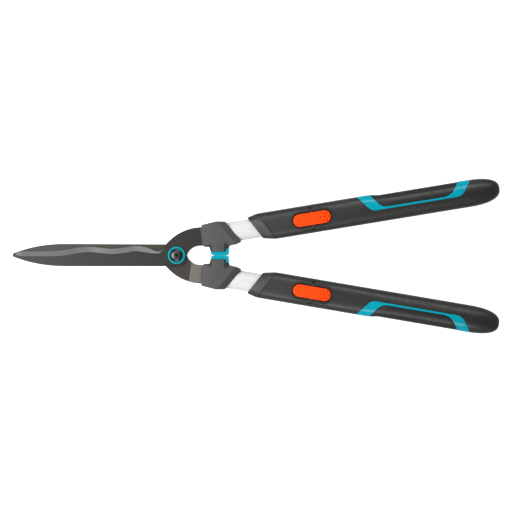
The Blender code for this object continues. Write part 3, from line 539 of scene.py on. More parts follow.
def metal(name, colour, roughness, metallic=1.0, stretch=(1.0, 1.0, 1.0), scale=900.0, depth=0.00003,
          contrast=0.10, specular=0.5):
    """Metal with a fine directional or cloudy finish."""
    made, tree, shader = shader_of(name)
    lines = add_noise(tree, scale, 4.0, stretch)
    tint = add_tint(tree, lines, colour, contrast)
    gloss = noise_range(tree, add_noise(tree, 60.0), roughness - 0.04, roughness + 0.06)
    normal = add_bump(tree, lines, 0.4, depth)
    link_inputs(tree, shader, {"Base Color": tint, "Roughness": gloss, "Normal": normal})
    set_inputs(shader, {"Metallic": metallic, "Specular IOR Level": specular})
    return made


def line_mask(tree, first, second, width):
    """0 on the left of the line from first to second (millimetres round the pivot), 1 on its right."""
    start, end = Vector(first), Vector(second)
    ahead = (end - start).normalized()
    normal = Vector((ahead.y, -ahead.x))
    coordinates = tree.nodes.new("ShaderNodeTexCoord")
    dot = tree.nodes.new("ShaderNodeVectorMath")
    dot.operation = "DOT_PRODUCT"
    tree.links.new(coordinates.outputs["Object"], dot.inputs[0])
    dot.inputs[1].default_value = (*normal, 0.0)
    at = normal.dot(start) * MM
    return add_range(tree, dot.outputs["Value"], at - width * MM, at + width * MM, 0.0, 1.0)


def blade_steel(name, coating, bare, line, roughness, specular):
    """Blade steel whose coating ends along a line across the tang, with bare steel beyond it."""
    made, tree, shader = shader_of(name)
    mask = line_mask(tree, *line, 0.12)
    cloud = add_noise(tree, 40.0, 5.0)
    speck = add_noise(tree, 1500.0, 2.0)
    tint = add_mix(tree, mask, add_tint(tree, cloud, coating, 0.07), add_tint(tree, speck, bare, 0.08))
    gloss = noise_range(tree, cloud, roughness - 0.03, roughness + 0.05)
    normal = add_bump(tree, speck, 0.3, 0.00003)
    link_inputs(tree, shader, {"Base Color": tint, "Roughness": gloss, "Normal": normal})
    set_inputs(shader, {"Specular IOR Level": specular})
    return made


def make_materials():
    return {
        "coated": blade_steel("blade_coating", (0.0125, 0.0132, 0.0105), (0.10, 0.10, 0.095),
                              COATING_END, 0.42, 0.27),
        "inner": blade_steel("blade_inner_face", (0.024, 0.018, 0.012), (0.12, 0.11, 0.095),
                             INNER_COATING_END, 0.45, 0.33),
        "bevel": metal("ground_bevel", (0.123, 0.123, 0.123), 0.42, 0.55, stretch=(0.08, 1.0, 1.0),
                       scale=2600.0),
        "knuckle": moulded("knuckle_plastic", (0.0265, 0.0256, 0.0247), 0.50, specular=0.7),
        "grip": moulded("grip_plastic", (0.0098, 0.0091, 0.0083), 0.45, specular=0.53, sheen=0.16),
        # Lighter than the grip so that the small domes show as light spots: a painted highlight.
        "dots": moulded("grip_dots", (0.026, 0.025, 0.024), 0.38, mottle=0.02, specular=0.7),
        "collar": moulded("collar_plastic", (0.0190, 0.0180, 0.0169), 0.50, specular=0.58, sheen=0.14),
        "pad": moulded("thumb_rubber", (0.0098, 0.0101, 0.0101), 0.42, grain=2200.0, specular=0.42,
                       sheen=0.09),
        "turquoise": glossy("turquoise_plastic", (0.0, 0.33, 0.43), 0.19, 0.2),
        "ring": glossy("ring_plastic", (0.0, 0.275, 0.35), 0.38, 0.06),
        "gel": glossy("buffer_gel", (0.0, 0.285, 0.365), 0.32, 0.06),
        "orange": moulded("orange_plastic", (0.95, 0.062, 0.001), 0.40, grain_depth=0.00002,
                          mottle=0.02, specular=0.12),
        # Darker orange for the insides of the dimples: painted shade.
        "dimple": moulded("orange_dimple_shade", (0.54, 0.027, 0.0008), 0.55, mottle=0.02, specular=0.08),
        "tube": metal("white_tube", (0.565, 0.565, 0.555), 0.45, 0.0, stretch=(0.1, 1.0, 1.0),
                      scale=700.0, depth=0.00001, contrast=0.01, specular=0.3),
        "black": metal("black_bolt", (0.005, 0.0048, 0.0047), 0.27, 0.0, scale=500.0, depth=0.00001,
                       contrast=0.05, specular=0.62),
        # Black painted shade, given to the bolt's socket, the pin wells and the sheet under the collar
        # seam.
        "dark": moulded("dark_recess", (0.002, 0.002, 0.002), 0.6, specular=0.1),
        "bright": metal("bright_steel", linear(176, 176, 172), 0.30, scale=1200.0),
        "pin": metal("pin_steel", linear(96, 95, 92), 0.40, scale=1200.0),
        "bronze": metal("bearing_bronze", linear(160, 128, 86), 0.38),
        "nylon": moulded("white_nylon", linear(225, 225, 218), 0.45, mottle=0.02),
    }


# Blades

def point_curve(x):
    u = (POINT_START_X - x) / (POINT_START_X - POINT_VERTEX_X)
    return BLADE_HALF_WIDTH * (1 - u ** POINT_CURVE)


def blade_mesh():
    """The upper blade. The ground bevel's faces get the second material, and the inner side's the third."""
    steps = 40
    nose_x = TIP_X + NOSE_LENGTH
    curve = [POINT_START_X + (nose_x - POINT_START_X) * i / steps for i in range(steps)]
    back = [(x, -point_curve(x)) for x in curve]
    nose = [(nose_x - NOSE_LENGTH * c, point_curve(nose_x) * k) for c, k in arc((0, 0), 1, -90, 90, 14)]
    edge = smooth_through(EDGE_WAVE, 10)
    bevel = smooth_through(BEVEL_WAVE, 10)
    start_turn = math.degrees(math.atan2(SHOULDER_START[1] - SHOULDER_CENTRE[1],
                                         SHOULDER_START[0] - SHOULDER_CENTRE[0]))
    shoulder = arc(SHOULDER_CENTRE, SHOULDER_RADIUS, start_turn, SHOULDER_END, 40)
    tang = [handle_point(s, t) for s, t in TANG]
    outline = edge + shoulder + tang + arc(*EYE, 44) + arc(*BOSS, 24) + back + nose + [EDGE_START]
    count = len(edge)
    rear = inset(outline, EDGE_ROUNDING)[count:]  # all but the cutting edge, moved in for the chamfer

    def level(points, edge_z, rear_z):
        return [(x, y, edge_z if i < count else rear_z) for i, (x, y) in enumerate(points)]

    def ground(points):
        """The level under the bevel, higher where the bevel is narrow."""
        raised = []
        for i, (x, y) in enumerate(points):
            z = BLADE_HIGH - EDGE_ROUNDING
            if i < count:
                z = max(BLADE_LOW + EDGE_LAND, BLADE_HIGH - BEVEL_FALL * math.dist(edge[i], bevel[i]))
            raised.append((x, y, z))
        return raised

    rings = [
        level(edge + rear, BLADE_LOW, BLADE_LOW),
        level(outline, BLADE_LOW, BLADE_LOW + EDGE_ROUNDING * 0.7),
        ground(outline),
        level(bevel + rear, BLADE_HIGH, BLADE_HIGH),
    ]
    shape = skin(rings)
    bmesh.ops.remove_doubles(shape, verts=shape.verts, dist=0.0005)
    shape.normal_update()
    for face in shape.faces:
        heights = [vert.co.z for vert in face.verts]
        sloping = max(heights) - min(heights) > 2 * EDGE_ROUNDING and max(heights) > BLADE_HIGH - 0.05
        if sloping and abs(face.normal.z) > 0.2:
            face.material_index = 1
        elif max(heights) < BLADE_LOW + 0.05:
            face.material_index = 2
    return shape


def make_blade(half, side, looks):
    """A blade. The lower one is the upper one turned over."""
    shape = blade_mesh()
    place = pivot_frame()
    if side < 0:
        place = place @ Matrix.Rotation(math.pi, 4, "X")
    faces = (looks["coated"], looks["bevel"], looks["inner"])
    obj = new_object(f"{half}_blade_skin", shape, place, 14, faces)
    cut(obj, [cylinder(PIVOT_HOLE_RADIUS, -FAR, FAR, 72)], place)
    sharpen(obj, 14)
    install(obj, f"{half}_half", None, f"{half}_blade")


# Pivot

def make_ring(looks):
    """The cup ring round the bolt's head."""
    base, top, half_width = span("pivot_ring")
    outer = half_width - RING_INSET
    outer_rounding, inner_rounding = 0.9, 0.7
    crown = (arc((outer - outer_rounding, top - outer_rounding), outer_rounding, 0, 90, 6)
             + arc((RING_BORE + inner_rounding, top - inner_rounding), inner_rounding, 90, 180, 6))
    profile = [(BOLT_HOLE_RADIUS, base), (outer, base), *crown, (RING_BORE, base + RING_FLOOR),
               (BOLT_HOLE_RADIUS, base + RING_FLOOR)]
    obj = new_object("pivot_ring_skin", turned(profile, closed=True), pivot_frame(), 40)
    install(obj, "upper_half", looks["ring"], "pivot_ring")


def make_bolt(looks):
    """The domed bolt, with a countersunk hexagon socket whose inside is painted black as shade."""
    place = pivot_frame()
    bottom, top, radius = span("pivot_bolt")
    head = span("pivot_ring")[0] + RING_FLOOR + GAP
    rim = head + RIM_HEIGHT
    chamfer, edge = 0.6, 0.3
    profile = [(SHANK_RADIUS - chamfer, bottom), (SHANK_RADIUS, bottom + chamfer), (SHANK_RADIUS, head),
               (radius - edge, head), (radius, head + edge), (radius, rim)]
    for c, k in arc((0, 0), 1, 6.1, 85.4, 13):
        profile.append((radius * c, rim + (top - rim) * k))
    obj = new_object("pivot_bolt_skin", turned(profile), place, 40, (looks["black"], looks["dark"]))
    corner = SOCKET_ACROSS / 2 / math.cos(math.pi / 6)
    socket = arc((0, 0), corner, 0, 360, 6)[:-1]
    mouth = turned([(corner - 0.4, top - 1.1), (corner + 1.0, top + 0.3)], 48)
    cut(obj, [prism(socket, top - SOCKET_DEPTH, FAR), mouth], place)
    # Painted shade: the socket's faces get the black shade material.
    paint_inside(obj, place, [(0.0, 0.0)], corner - 0.2, head, FAR)
    sharpen(obj, 30)
    install(obj, "upper_half", None, "pivot_bolt")


def make_nut(looks):
    """The cap nut, a hexagon with both ends chamfered."""
    place = pivot_frame()
    bottom, top, corner = span("pivot_nut")
    hexagon = arc((0, 0), corner, 0, 360, 6)[:-1]
    obj = new_object("pivot_nut_skin", prism(hexagon, bottom, top), place)
    chamfers = turned([(corner - 1.5, bottom), (corner + 0.15, bottom + 0.95),
                       (corner + 0.15, top - 0.9), (corner - 1.3, top)], 72)
    cut(obj, [chamfers], place, "INTERSECT")
    cut(obj, [cylinder(BOLT_HOLE_RADIUS, bottom + NUT_FLOOR, FAR, 48)], place)
    soften(obj, 0.15, 2, 30)
    install(obj, "upper_half", looks["black"], "pivot_nut")


def make_washer(looks):
    bottom, top, radius = span("pivot_washer")
    chamfer = 0.25
    profile = [(BOLT_HOLE_RADIUS, bottom), (radius - chamfer, bottom), (radius, bottom + chamfer),
               (radius, top - chamfer), (radius - chamfer, top), (BOLT_HOLE_RADIUS, top)]
    obj = new_object("pivot_washer_skin", turned(profile, closed=True), pivot_frame())
    install(obj, "upper_half", looks["bright"], "pivot_washer")


# Knuckles and buffers

def knuckle_corners():
    """The upper knuckle's (x, y, fillet radius) corners."""
    left, right = POST_X
    inner, outer = KNUCKLE_END
    return [
        (33.1, 40.3, 1.8), (33.5, 26.6, 30.0), (36.1, 11.4, 2.2), (44.0, 11.4, 3.0),
        (left, POST_END_Y, 0), (right, POST_END_Y, 0), (69.4, 8.9, 0),
        (70.6, 13.4, 3.0), (79.8, 15.0, 6.0), (*inner, 0.8), (*outer, 1.6), (52.6, 45.4, 6.0),
    ]


def slanted_band(sign):
    """The wedge cut off along the knuckle's slanted end, above for sign 1 and below for -1."""
    start, end = (Vector(point) for point in KNUCKLE_END)
    direction = (end - start).normalized()
    inward = Vector((-direction.y, direction.x))
    length = (end - start).length
    spare = 5.0
    high = KNUCKLE_HALF_HEIGHT + spare
    rings = []
    for reach in spaced(-spare, length + spare, 4.0):
        drop = BAND_DROP[0] + (BAND_DROP[1] - BAND_DROP[0]) * reach / length
        low = KNUCKLE_HALF_HEIGHT - drop * (1 + spare / BAND_WIDTH)
        profile = ((-spare, low), (BAND_WIDTH, KNUCKLE_HALF_HEIGHT), (BAND_WIDTH, high), (-spare, high))
        rings.append([(*(start + direction * reach + inward * u), sign * z) for u, z in profile])
    return skin(rings)


def post_slopes():
    """Cutters that leave the post's middle standing up from its sides and from both shoulders."""
    top, high = KNUCKLE_HALF_HEIGHT, KNUCKLE_HALF_HEIGHT + 5.0
    reach, depth = 24.0, 20.0
    cutters = []
    # Where each slope starts at the land, its reach to the side, and how much lower in y it starts there
    for x, y, across, fall in ((POST_LAND[0], 15.0, -reach, 5.0), (POST_LAND[1], 17.0, reach, 7.7)):
        ring = [(x, y, top), (x + across, y - fall, top), (x + across, y - reach, top - depth),
                (x, y - reach, top)]
        shape = bmesh.new()
        low = [shape.verts.new(point) for point in ring]
        over = [shape.verts.new((px, py, high)) for px, py, _ in ring]
        shape.faces.new((low[0], low[1], low[2]))
        shape.faces.new((low[0], low[2], low[3]))
        shape.faces.new(over)
        for i in range(4):
            k = (i + 1) % 4
            shape.faces.new((low[i], low[k], over[k], over[i]))
        cutters.append(shape)
    return cutters


def make_knuckle(half, side, looks):
    """The knuckle, with room for the tang, the tube and the screw heads."""
    place = pivot_frame(side)
    levels = rounded_levels(knuckle_corners(), KNUCKLE_HALF_HEIGHT, KNUCKLE_ROUNDING)
    obj = new_object(f"{half}_knuckle_skin", stacked(levels), place)
    bottom, top = sorted((side * (BLADE_LOW - GAP), side * (BLADE_HIGH + GAP)))
    tang_room = prism([handle_point(s, t) for s, t in TANG_ROOM], bottom, top)
    cut(obj, [slanted_band(1), slanted_band(-1), *post_slopes(), tang_room], place)
    socket = oval(TUBE_HALF[0] + GAP, TUBE_HALF[1] + GAP, TUBE_POWER)
    rooms = [along(((socket, TUBE_START - GAP), (socket, TUBE_START + FAR)))]
    for name in KNUCKLE_SCREWS:
        centre, face = screw_place(half, name)
        rooms.append(cylinder(HEAD_RADIUS + GAP, -FAR, face + HEAD_HEIGHT + GAP, 40, centre))
    cut(obj, rooms, handle_frame(side))
    soften(obj, 0.35, 2, 24)
    sharpen(obj, 16)
    install(obj, f"{half}_half", looks["knuckle"], f"{half}_knuckle")


def screw_place(half, name):
    """A screw's centre in its handle's frame, and the height of its head's face."""
    low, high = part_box(f"{half}_{name}")
    centre = handle_frame(dict(HALVES)[half]).inverted() @ ((low + high) / 2)
    return (centre.x, centre.y), (low.z - PIVOT.z) / MM


def make_buffer(half, side, looks):
    """The buffer on the post's end, with an arm up the post's rear side."""
    place = pivot_frame(side)
    low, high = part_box(f"{half}_buffer")
    half_height = (high.z - low.z) / 2 / MM
    left = POST_X[0]
    seat = POST_END_Y + BUFFER_ROUNDING + 0.3
    corners = [
        (left, seat, 0), (left + 0.9, 1.0, 1.2), (50.5, BUFFER_FACE_Y, 8.0), (65.4, BUFFER_FACE_Y, 8.0),
        (69.3, 1.0, 1.2), (70.2, 9.9, 0.7), (67.6, 9.9, 0.4), (64.0, 5.4, 0), (63.0, seat, 0),
    ]
    levels = rounded_levels(corners, half_height, BUFFER_ROUNDING)
    obj = new_object(f"{half}_buffer_skin", stacked(levels), place)
    install(obj, f"{half}_half", looks["gel"], f"{half}_buffer")


# Tubes

def make_tube(half, side, looks):
    """The oval tube, with its lock groove and holes."""
    place = handle_frame(side)
    width, height = TUBE_HALF
    outer = oval(width, height, TUBE_POWER)
    inner = oval(width - TUBE_WALL, height - TUBE_WALL, TUBE_POWER)
    wall = ((outer, TUBE_START), (outer, TUBE_END), (inner, TUBE_END), (inner, TUBE_START))
    obj = new_object(f"{half}_tube_skin", along(wall, closed=True), place)
    half_groove, half_hole = GROOVE_WIDTH / 2, LOCK_HOLE / 2
    start = TOOTH_S - GROOVE_SPARE[0]
    end = TOOTH_S + (LOCK_POSITIONS - 1) * LOCK_PITCH + GROOVE_SPARE[1]
    tools = [block((start, -half_groove, height - GROOVE_DEPTH), (end, half_groove, FAR))]
    for i in range(LOCK_POSITIONS):
        s = TOOTH_S + i * LOCK_PITCH
        tools.append(block((s - half_hole, -half_hole, 0.0), (s + half_hole, half_hole, FAR)))
    cut(obj, tools, place)
    soften(obj, 0.15, 1, 40)
    install(obj, f"{half}_half", looks["tube"], f"{half}_tube")


# Grips

def eased(s, start, end):
    """0 up to start, 1 from end on, and smooth between."""
    u = min(1.0, max(0.0, (s - start) / (end - start)))
    return u * u * (3 - 2 * u)


def power_at(s):
    """Squareness of the grip's section at s."""
    return FRONT_POWER + (REAR_POWER - FRONT_POWER) * eased(s, *POWER_CHANGE)


def grip_section(outer_half, inner_half, top, shrink_t=0.0, shrink_z=0.0, power=FRONT_POWER):
    """A section of (t, z) points, flat underneath where the grip lies on the floor."""
    points = []
    for t, z in oval(1.0, 1.0, power):
        half = outer_half if t > 0 else inner_half
        land = min(PIVOT.z / MM, top) - shrink_z
        points.append((t * (half - shrink_t), max(z * (top - shrink_z), -land)))
    return points


def end_factor(s):
    """How much of its full section the grip has at s, which shrinks round the rear end."""
    if s <= GRIP_ROUNDING:
        return 1.0
    u = (s - GRIP_ROUNDING) / (GRIP_END - GRIP_ROUNDING)
    return max(0.0, 1.0 - u ** FRONT_POWER) ** (1 / FRONT_POWER)


def outer_half_at(s):
    """Half width on the outer side, which steps in along the thumb pad."""
    return GRIP_HALF_WIDTH + (THUMB_HALF_WIDTH - GRIP_HALF_WIDTH) * eased(s, *GRIP_STEP)


def surface_height(s, t):
    """Height of the grip's top over its axis plane."""
    half = outer_half_at(s) if t > 0 else GRIP_HALF_WIDTH
    power = power_at(s)
    return GRIP_TOP * max(0.0, 1 - (abs(t) / half) ** power) ** (1 / power)


def grip_rings(stations, first_slant=0.0, shrink_t=0.0, shrink_z=0.0, scoop=0.0):
    """The grip's sections at its stations. The first three lean, less and less, with the seam."""
    rings = []
    for i, s in enumerate(stations):
        factor = end_factor(s)
        section = grip_section(outer_half_at(s) * factor, GRIP_HALF_WIDTH * factor, GRIP_TOP * factor,
                               shrink_t, shrink_z, power_at(s))
        slant = first_slant * max(0.0, 1 - i / 3)
        ring = []
        for t, z in section:
            across = (s + SCOOP_SLANT * t - SCOOP_S) / SCOOP_WIDTH
            dip = scoop * math.exp(-across * across) if z > 0 else 0.0
            ring.append((s - slant * t, t, z - dip))
        rings.append(ring)
    return rings


def spaced(start, end, step):
    count = max(1, round((end - start) / step))
    return [start + (end - start) * i / count for i in range(count + 1)]


def rounded_end():
    """Stations round the grip's rear end."""
    steps = 22
    reach = GRIP_END - GRIP_ROUNDING
    stations = [GRIP_ROUNDING + reach * math.sin(math.pi / 2 * i / steps) for i in range(1, steps)]
    return stations + [GRIP_END - 0.02]


def panel_outline(corners, margin=0.0):
    """The inlay's or the pad's outline, moved inwards by margin."""
    return inset(rounded(corners, 16), margin)


def seat_outline(steps=28):
    """The outline of the rocker's seat."""
    length, width = (size + 2 * SEAT_MARGIN for size in ROCKER_SIZE)
    return racetrack(ROCKER_S, length, width, steps)


def make_grip_body(half, side, looks):
    """The hollow grip. Its stations stand closer together where its side steps in."""
    place = handle_frame(side)
    stations = [SEAM + 2 * GAP, 134.0, 142.0, 150.0]
    stations += spaced(160.0, 262.0, 6.0) + spaced(264.0, 278.0, 1.4) + spaced(284.0, GRIP_ROUNDING, 6.0)
    stations += rounded_end()
    obj = new_object(f"{half}_grip_skin", skin(grip_rings(stations, SLANT)), place, 40,
                     (looks["grip"], looks["dark"]))
    core_stations = spaced(200.0, 262.0, 20.0) + spaced(264.0, 278.0, 2.0) + spaced(284.0, 408.0, 6.0)
    recess = new_object("recess", prism(panel_outline(INLAY_CORNERS), -FAR, FAR), place)
    cut(recess, [skin(grip_rings(core_stations, 0.0, RECESS_SIDE, RECESS_TOP))], place)
    cut_with(obj, recess)
    bore = oval(*BORE_HALF, TUBE_POWER)
    bush_room = oval(BORE_HALF[0] + BUSH_ROOM, BORE_HALF[1] + BUSH_ROOM, TUBE_POWER)
    ahead, behind, half_width = 3.0, 2.6, 2.4
    tooth_room = block((TOOTH_S - ahead, -half_width, 0.0), (TOOTH_S + behind, half_width, FAR))
    cut(obj, [
        prism(seat_outline(), SEAT_FLOOR, FAR),
        tooth_room,
        cross_rod(ROCKER_S, PIN_Z, PIN_RADIUS, PIN_HALF_LENGTH + GAP),
        along(((bore, 0.0), (bore, GRIP_BORE_END))),
        along(((bush_room, 0.0), (bush_room, BUSH_END))),
    ], place)
    cut_pin_wells(obj, place)
    centre, _ = screw_place(half, "bush_screw")
    cut(obj, [cylinder(BUSH_SCREW_HOLE, -FAR, 0.0, 28, centre)], place)
    sharpen(obj, 40)
    install(obj, f"{half}_grip", None, f"{half}_grip_body")


def cut_pin_wells(obj, place):
    """Small wells over both ends of the cross pin, painted black inside as shade."""
    centres = [(ROCKER_S, end * (PIN_HALF_LENGTH + 0.8)) for end in (1, -1)]
    cut(obj, [cylinder(WELL_RADIUS, WELL_FLOOR, FAR, 28, centre) for centre in centres], place)
    # Painted shade on the wells' walls and floors.
    paint_inside(obj, place, centres, WELL_RADIUS, WELL_FLOOR - 0.1, FAR)


def make_bezel(half, side, looks):
    """The raised rim round the rocker's seat."""
    place = handle_frame(side)
    seat, foot = seat_outline(48), racetrack(ROCKER_S, *BEZEL_SIZE, 48)
    steps = 14
    lip, skirt = 0.16, 0.2  # shares of the rim's width that are rounded at the seat and at the foot
    sunk = 0.5
    rings = []
    for (sx, st), (fx, ft) in zip(seat, foot):
        ring = [(sx, st, SEAT_FLOOR + 1.0)]
        for i in range(steps + 1):
            u = i / steps
            x, t = sx + (fx - sx) * u, st + (ft - st) * u
            ground = surface_height(x, t)
            lift = min(1.0, u / lip) ** 0.6 * min(1.0, max(0.0, (1 - u) / skirt)) ** 0.75
            z = ground - sunk + (BEZEL_TOP - ground + sunk) * lift
            if u < lip:
                z = max(z, BEZEL_TOP - 0.9 * (1 - u / lip) ** 2)
            ring.append((x, t, z))
        ring.append((fx, ft, surface_height(fx, ft) - 2.0))
        rings.append(ring)
    obj = new_object(f"{half}_rocker_bezel", skin(rings, closed=True), place, 40,
                     (looks["grip"], looks["dark"]))
    cut_pin_wells(obj, place)
    sharpen(obj, 40)
    install(obj, f"{half}_grip")


def make_shell(half, side, name, outline, hole, drop, look, scoop=0.0):
    """A shell that fills the grip's recess inside an outline, sunk by drop below the grip's skin."""
    place = handle_frame(side)
    stations = spaced(225.0, 249.0, 8.0) + spaced(250.5, 300.0, 1.5) + spaced(306.0, GRIP_ROUNDING, 6.0)
    stations += [396.0, 402.0, 408.0, 412.0]
    rings = grip_rings(stations, 0.0, drop, drop, scoop)
    obj = new_object(f"{half}_{name}_skin", skin(rings), place)
    core_stations = [stations[0] - 5.0, *stations[1:-1], stations[-1] + 5.0]
    core = skin(grip_rings(core_stations, 0.0, RECESS_SIDE - GAP, RECESS_TOP - GAP))
    cut(obj, [core], place)
    cut(obj, [prism(outline, -FAR, FAR)], place, "INTERSECT")
    if hole:
        cut(obj, [prism(hole, -FAR, FAR)], place)
    soften(obj, 0.22, 2, 45)
    install(obj, f"{half}_grip", look, f"{half}_{name}")


def make_panels(half, side, looks):
    """The inlay frame, and the thumb pad inside it."""
    make_shell(half, side, "inlay", panel_outline(INLAY_CORNERS, GAP), panel_outline(PAD_CORNERS, -GAP / 2),
               0.0, looks["turquoise"])
    make_shell(half, side, "thumb_pad", panel_outline(PAD_CORNERS, GAP / 2), None, SKIN_DROP,
               looks["pad"], SCOOP_DEPTH)


def make_collar(half, side, looks):
    """The collar with its slanted front, and a black sheet of painted shade under the seam behind it."""
    place = handle_frame(side)
    front = oval(*COLLAR_HALF, FRONT_POWER)
    full = grip_section(GRIP_HALF_WIDTH, GRIP_HALF_WIDTH, GRIP_TOP)
    levels = [(front, COLLAR_START), (full, SEAM - COLLAR_RIM), (full, SEAM)]
    obj = new_object(f"{half}_collar_skin", along(levels, SLANT), place)
    bore = oval(*BORE_HALF, TUBE_POWER)
    hole = ((bore, 0.0), (bore, SEAM + FAR))
    cut(obj, [along(hole)], place)
    soften(obj, 0.5, 3, 20)
    install(obj, f"{half}_grip", looks["collar"], f"{half}_collar")

    # A black sheet under the seam: painted shade, so that the groove reads as a shadowed line.
    inside = grip_section(GRIP_HALF_WIDTH, GRIP_HALF_WIDTH, GRIP_TOP, JOINT_DEPTH, JOINT_DEPTH)
    joint = along(((inside, SEAM - JOINT_REACH[0]), (inside, SEAM + JOINT_REACH[1])), SLANT)
    seam_shade_sheet = new_object(f"{half}_collar_joint", joint, place)
    cut(seam_shade_sheet, [along(hole)], place)
    install(seam_shade_sheet, f"{half}_grip", looks["dark"])


def make_dots(half, side, looks):
    """Three staggered rows of small raised domes along the inner side."""
    shape = bmesh.new()
    for t, start, count in DOT_ROWS:
        for i in range(count):
            add_dome(shape, start + i * DOT_PITCH, t)
    obj = new_object(f"{half}_grip_dots", shape, handle_frame(side))
    install(obj, f"{half}_grip", looks["dots"])


def add_dome(shape, s, t):
    """A small dome on the grip's skin, its foot a little way into it."""
    around, rings, sunk = 14, 4, 0.05
    rows = []
    for k in range(rings):
        angle = math.pi / 2 * k / rings
        rise = DOT_HEIGHT * math.sin(angle) - (sunk if k == 0 else 0.0)
        row = []
        for x, y in arc((s, t), DOT_RADIUS * math.cos(angle), 0, 360, around)[:-1]:
            row.append(shape.verts.new((x, y, surface_height(x, y) + rise)))
        rows.append(row)
    apex = shape.verts.new((s, t, surface_height(s, t) + DOT_HEIGHT))
    for lower, upper in zip(rows, rows[1:]):
        for i in range(around):
            j = (i + 1) % around
            shape.faces.new((lower[i], lower[j], upper[j], upper[i]))
    for i in range(around):
        shape.faces.new((rows[-1][i], rows[-1][(i + 1) % around], apex))
    shape.faces.new(rows[0])


# Lock rockers

def rocker_levels():
    """Levels of the rocker, with a rounded rim and a very slightly domed top."""
    plan = inset(racetrack(ROCKER_S, *ROCKER_SIZE, 36), ROCKER_PLAY)
    levels = [(inset(plan, 0.3), ROCKER_UNDERSIDE), (plan, ROCKER_UNDERSIDE + 0.3)]
    for c, k in arc((0, 0), 1, 0, 90, 7):
        levels.append((inset(plan, ROCKER_ROUNDING * (1 - c)),
                       ROCKER_TOP - 0.25 - ROCKER_ROUNDING * 0.8 * (1 - k)))
    for distance, drop in ((3.0, 0.12), (5.5, 0.03), (8.0, 0.0)):
        levels.append((inset(plan, distance), ROCKER_TOP - drop))
    return levels


def dimple_centres():
    """Seven dimples behind the pin: three along the middle and two on each side."""
    places = [(11.0, 0.0), (16.7, 0.0), (22.5, 0.0)]
    places += [(ds, t) for ds in (14.0, 20.0) for t in (-5.0, 5.0)]
    return [(ROCKER_S + ds, t) for ds, t in places]


def make_rocker(half, side, looks):
    """The rocker button, with a boss for its pin underneath and dimples on top."""
    place = handle_frame(side)
    obj = new_object(f"{half}_rocker_skin", stacked(rocker_levels()), place, 38,
                     (looks["orange"], looks["dimple"]))
    radius = PIN_BOSS_RADIUS
    boss = [(ROCKER_S + x, PIN_Z + z)
            for x, z in arc((0, 0), radius, 180, 360, 16) + [(radius, 2.0), (-radius, 2.0)]]
    half_boss = ROCKER_SIZE[1] / 2 - 1.5
    cut(obj, [skin([[(x, t, z) for x, z in boss] for t in (-half_boss, half_boss)])], place, "UNION")
    reach, half_width, skin_over = 3.2, 4.0, 1.6
    spring_room = block((ROCKER_S - reach, -half_width, PIN_Z - 5.0),
                        (ROCKER_S + reach, half_width, ROCKER_TOP - skin_over))
    half_tooth, tooth_depth = 2.0, 1.8
    tooth_room = block((TOOTH_S - half_tooth, -half_tooth, 0.0),
                       (TOOTH_S + half_tooth, half_tooth, ROCKER_UNDERSIDE + tooth_depth))
    tools = [spring_room, cross_rod(ROCKER_S, PIN_Z, PIN_RADIUS, FAR), tooth_room]
    dimple = [(0.3, ROCKER_TOP - DIMPLE_DEPTH), (0.8, ROCKER_TOP - 1.2), (DIMPLE_RADIUS, ROCKER_TOP + 1.0)]
    tools += [turned(dimple, 24, centre) for centre in dimple_centres()]
    cut(obj, tools, place)
    # Painted shade: the dimples' faces get the darker orange.
    paint_inside(obj, place, dimple_centres(), DIMPLE_RADIUS + 0.05,
                 ROCKER_TOP - DIMPLE_DEPTH - 0.1, ROCKER_TOP - 0.2)
    sharpen(obj, 38)
    install(obj, f"{half}_lock", None, f"{half}_rocker")


# Screws and the hidden pieces

def make_screw(half, side, name, looks):
    """A screw that points upwards, with a star socket in its head."""
    place = handle_frame(side)
    centre, face = screw_place(half, name)
    tip = span(f"{half}_{name}")[1]
    shank = 1.6 if name == "tube_screw" else 2.0
    profile = [(HEAD_RADIUS - 0.5, face), (HEAD_RADIUS - 0.15, face + 0.15), (HEAD_RADIUS, face + 0.5),
               (HEAD_RADIUS, face + HEAD_HEIGHT), (shank, face + HEAD_HEIGHT), (shank, tip - 1.0),
               (shank - 0.8, tip)]
    obj = new_object(f"{half}_{name}_skin", turned(profile, 48, centre), place)
    star_radius, wave, lobes, depth = 1.75, 0.32, 6, 1.4
    star = []
    for i in range(36):
        angle = 2 * math.pi * i / 36
        reach = star_radius + wave * math.cos(lobes * angle)
        star.append((centre[0] + reach * math.cos(angle), centre[1] + reach * math.sin(angle)))
    cut(obj, [prism(star, -FAR, face + depth)], place)
    sharpen(obj, 35)
    install(obj, f"{half}_half", looks["bright"], f"{half}_{name}")


def make_screws(half, side, looks):
    for name in KNUCKLE_SCREWS:
        make_screw(half, side, name, looks)


def finish_hidden(looks):
    """CAD pieces that stay as they are get their materials."""
    kinds = {"pivot_bush": "bronze"}
    for half, _ in HALVES:
        kinds[f"{half}_tube_guide"] = "nylon"
        kinds[f"{half}_slide_bush"] = "nylon"
        kinds[f"{half}_rocker_pin"] = "pin"
        for name in ("bush_screw", "rocker_spring", "lock_tooth"):
            kinds[f"{half}_{name}"] = "bright"
    for node, look in kinds.items():
        data = frame["nodes"][node].data
        data.materials.clear()
        data.materials.append(looks[look])


# Studio

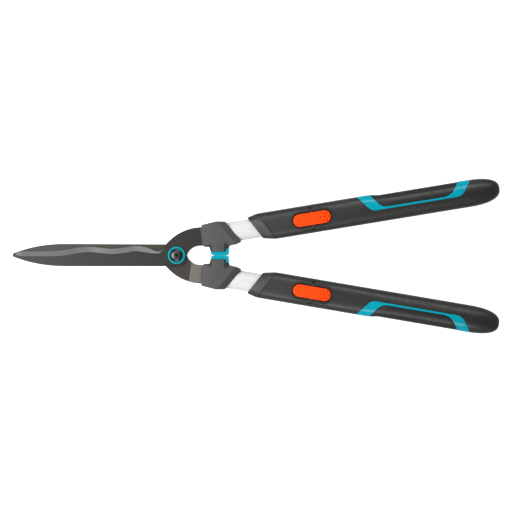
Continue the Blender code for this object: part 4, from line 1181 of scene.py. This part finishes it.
def make_floor():
    """A pale floor that mirror reflections leave out."""
    shape = bmesh.new()
    bmesh.ops.create_grid(shape, x_segments=1, y_segments=1, size=8.0)
    under = 0.0005
    floor = new_object("floor", shape, Matrix.Translation((0.1, 0.0, FLOOR_Z - under)))
    made, _, shader = shader_of("pale_floor")
    set_inputs(shader, {"Base Color": (0.6, 0.6, 0.6, 1.0), "Roughness": 0.9, "Specular IOR Level": 0.1,
                        "Emission Color": WHITE, "Emission Strength": 0.85})
    floor.data.materials.append(made)
    floor.visible_glossy = False


def area_light(name, place, target, size, power):
    data = bpy.data.lights.new(name, "AREA")
    data.shape = "RECTANGLE"
    data.size, data.size_y = size
    data.energy = power
    obj = add_object(name, data)
    obj.location = place
    obj.rotation_euler = (Vector(target) - Vector(place)).to_track_quat("-Z", "Y").to_euler()
    obj.visible_camera = False


def make_lights():
    """Softboxes overhead, the brighter one beyond the blades' points, and one strip along each side."""
    area_light("left_box", (-0.38, 0.0, 0.6), (-0.38, 0.0, 0.0), (0.3, 0.5), 4.4)
    area_light("overhead_box", (-0.03, 0.0, 0.6), (-0.03, 0.0, 0.0), (0.4, 0.9), 1.55)
    area_light("far_strip", (0.35, 0.9, 0.72), (0.35, 0.05, 0.0), (1.0, 0.25), 6.3)
    area_light("near_strip", (0.05, -0.9, 0.66), (0.05, -0.05, 0.0), (0.6, 0.4), 4.8)
    world = bpy.data.worlds.new("studio")
    world.use_nodes = True
    set_inputs(world.node_tree.nodes["Background"], {"Color": WHITE, "Strength": 0.21})
    bpy.context.scene.world = world


def make_camera():
    """Straight above the shears, far away behind a long lens."""
    data = bpy.data.cameras.new("camera")
    data.sensor_width = 36.0
    height, view_width, view_centre = 6.0, 0.682, Vector((0.1059, -0.0009, 0.0))
    roll = math.radians(0.14)
    data.lens = data.sensor_width * height / view_width
    data.clip_end = 50.0
    camera = add_object("camera", data)
    offset = Matrix.Rotation(roll, 4, "Z") @ view_centre
    camera.location = (PIVOT.x + offset.x, PIVOT.y + offset.y, PIVOT.z + height)
    camera.rotation_euler = (0.0, 0.0, roll)
    bpy.context.scene.camera = camera


def main():
    bpy.context.scene.view_settings.view_transform = "Standard"
    looks = make_materials()
    for make in (make_ring, make_bolt, make_nut, make_washer):
        make(looks)
    for half, side in HALVES:
        for make in (make_blade, make_knuckle, make_buffer, make_tube, make_collar, make_grip_body,
                     make_bezel, make_panels, make_dots, make_rocker, make_screws):
            make(half, side, looks)
    finish_hidden(looks)
    make_floor()
    make_lights()
    make_camera()


main()
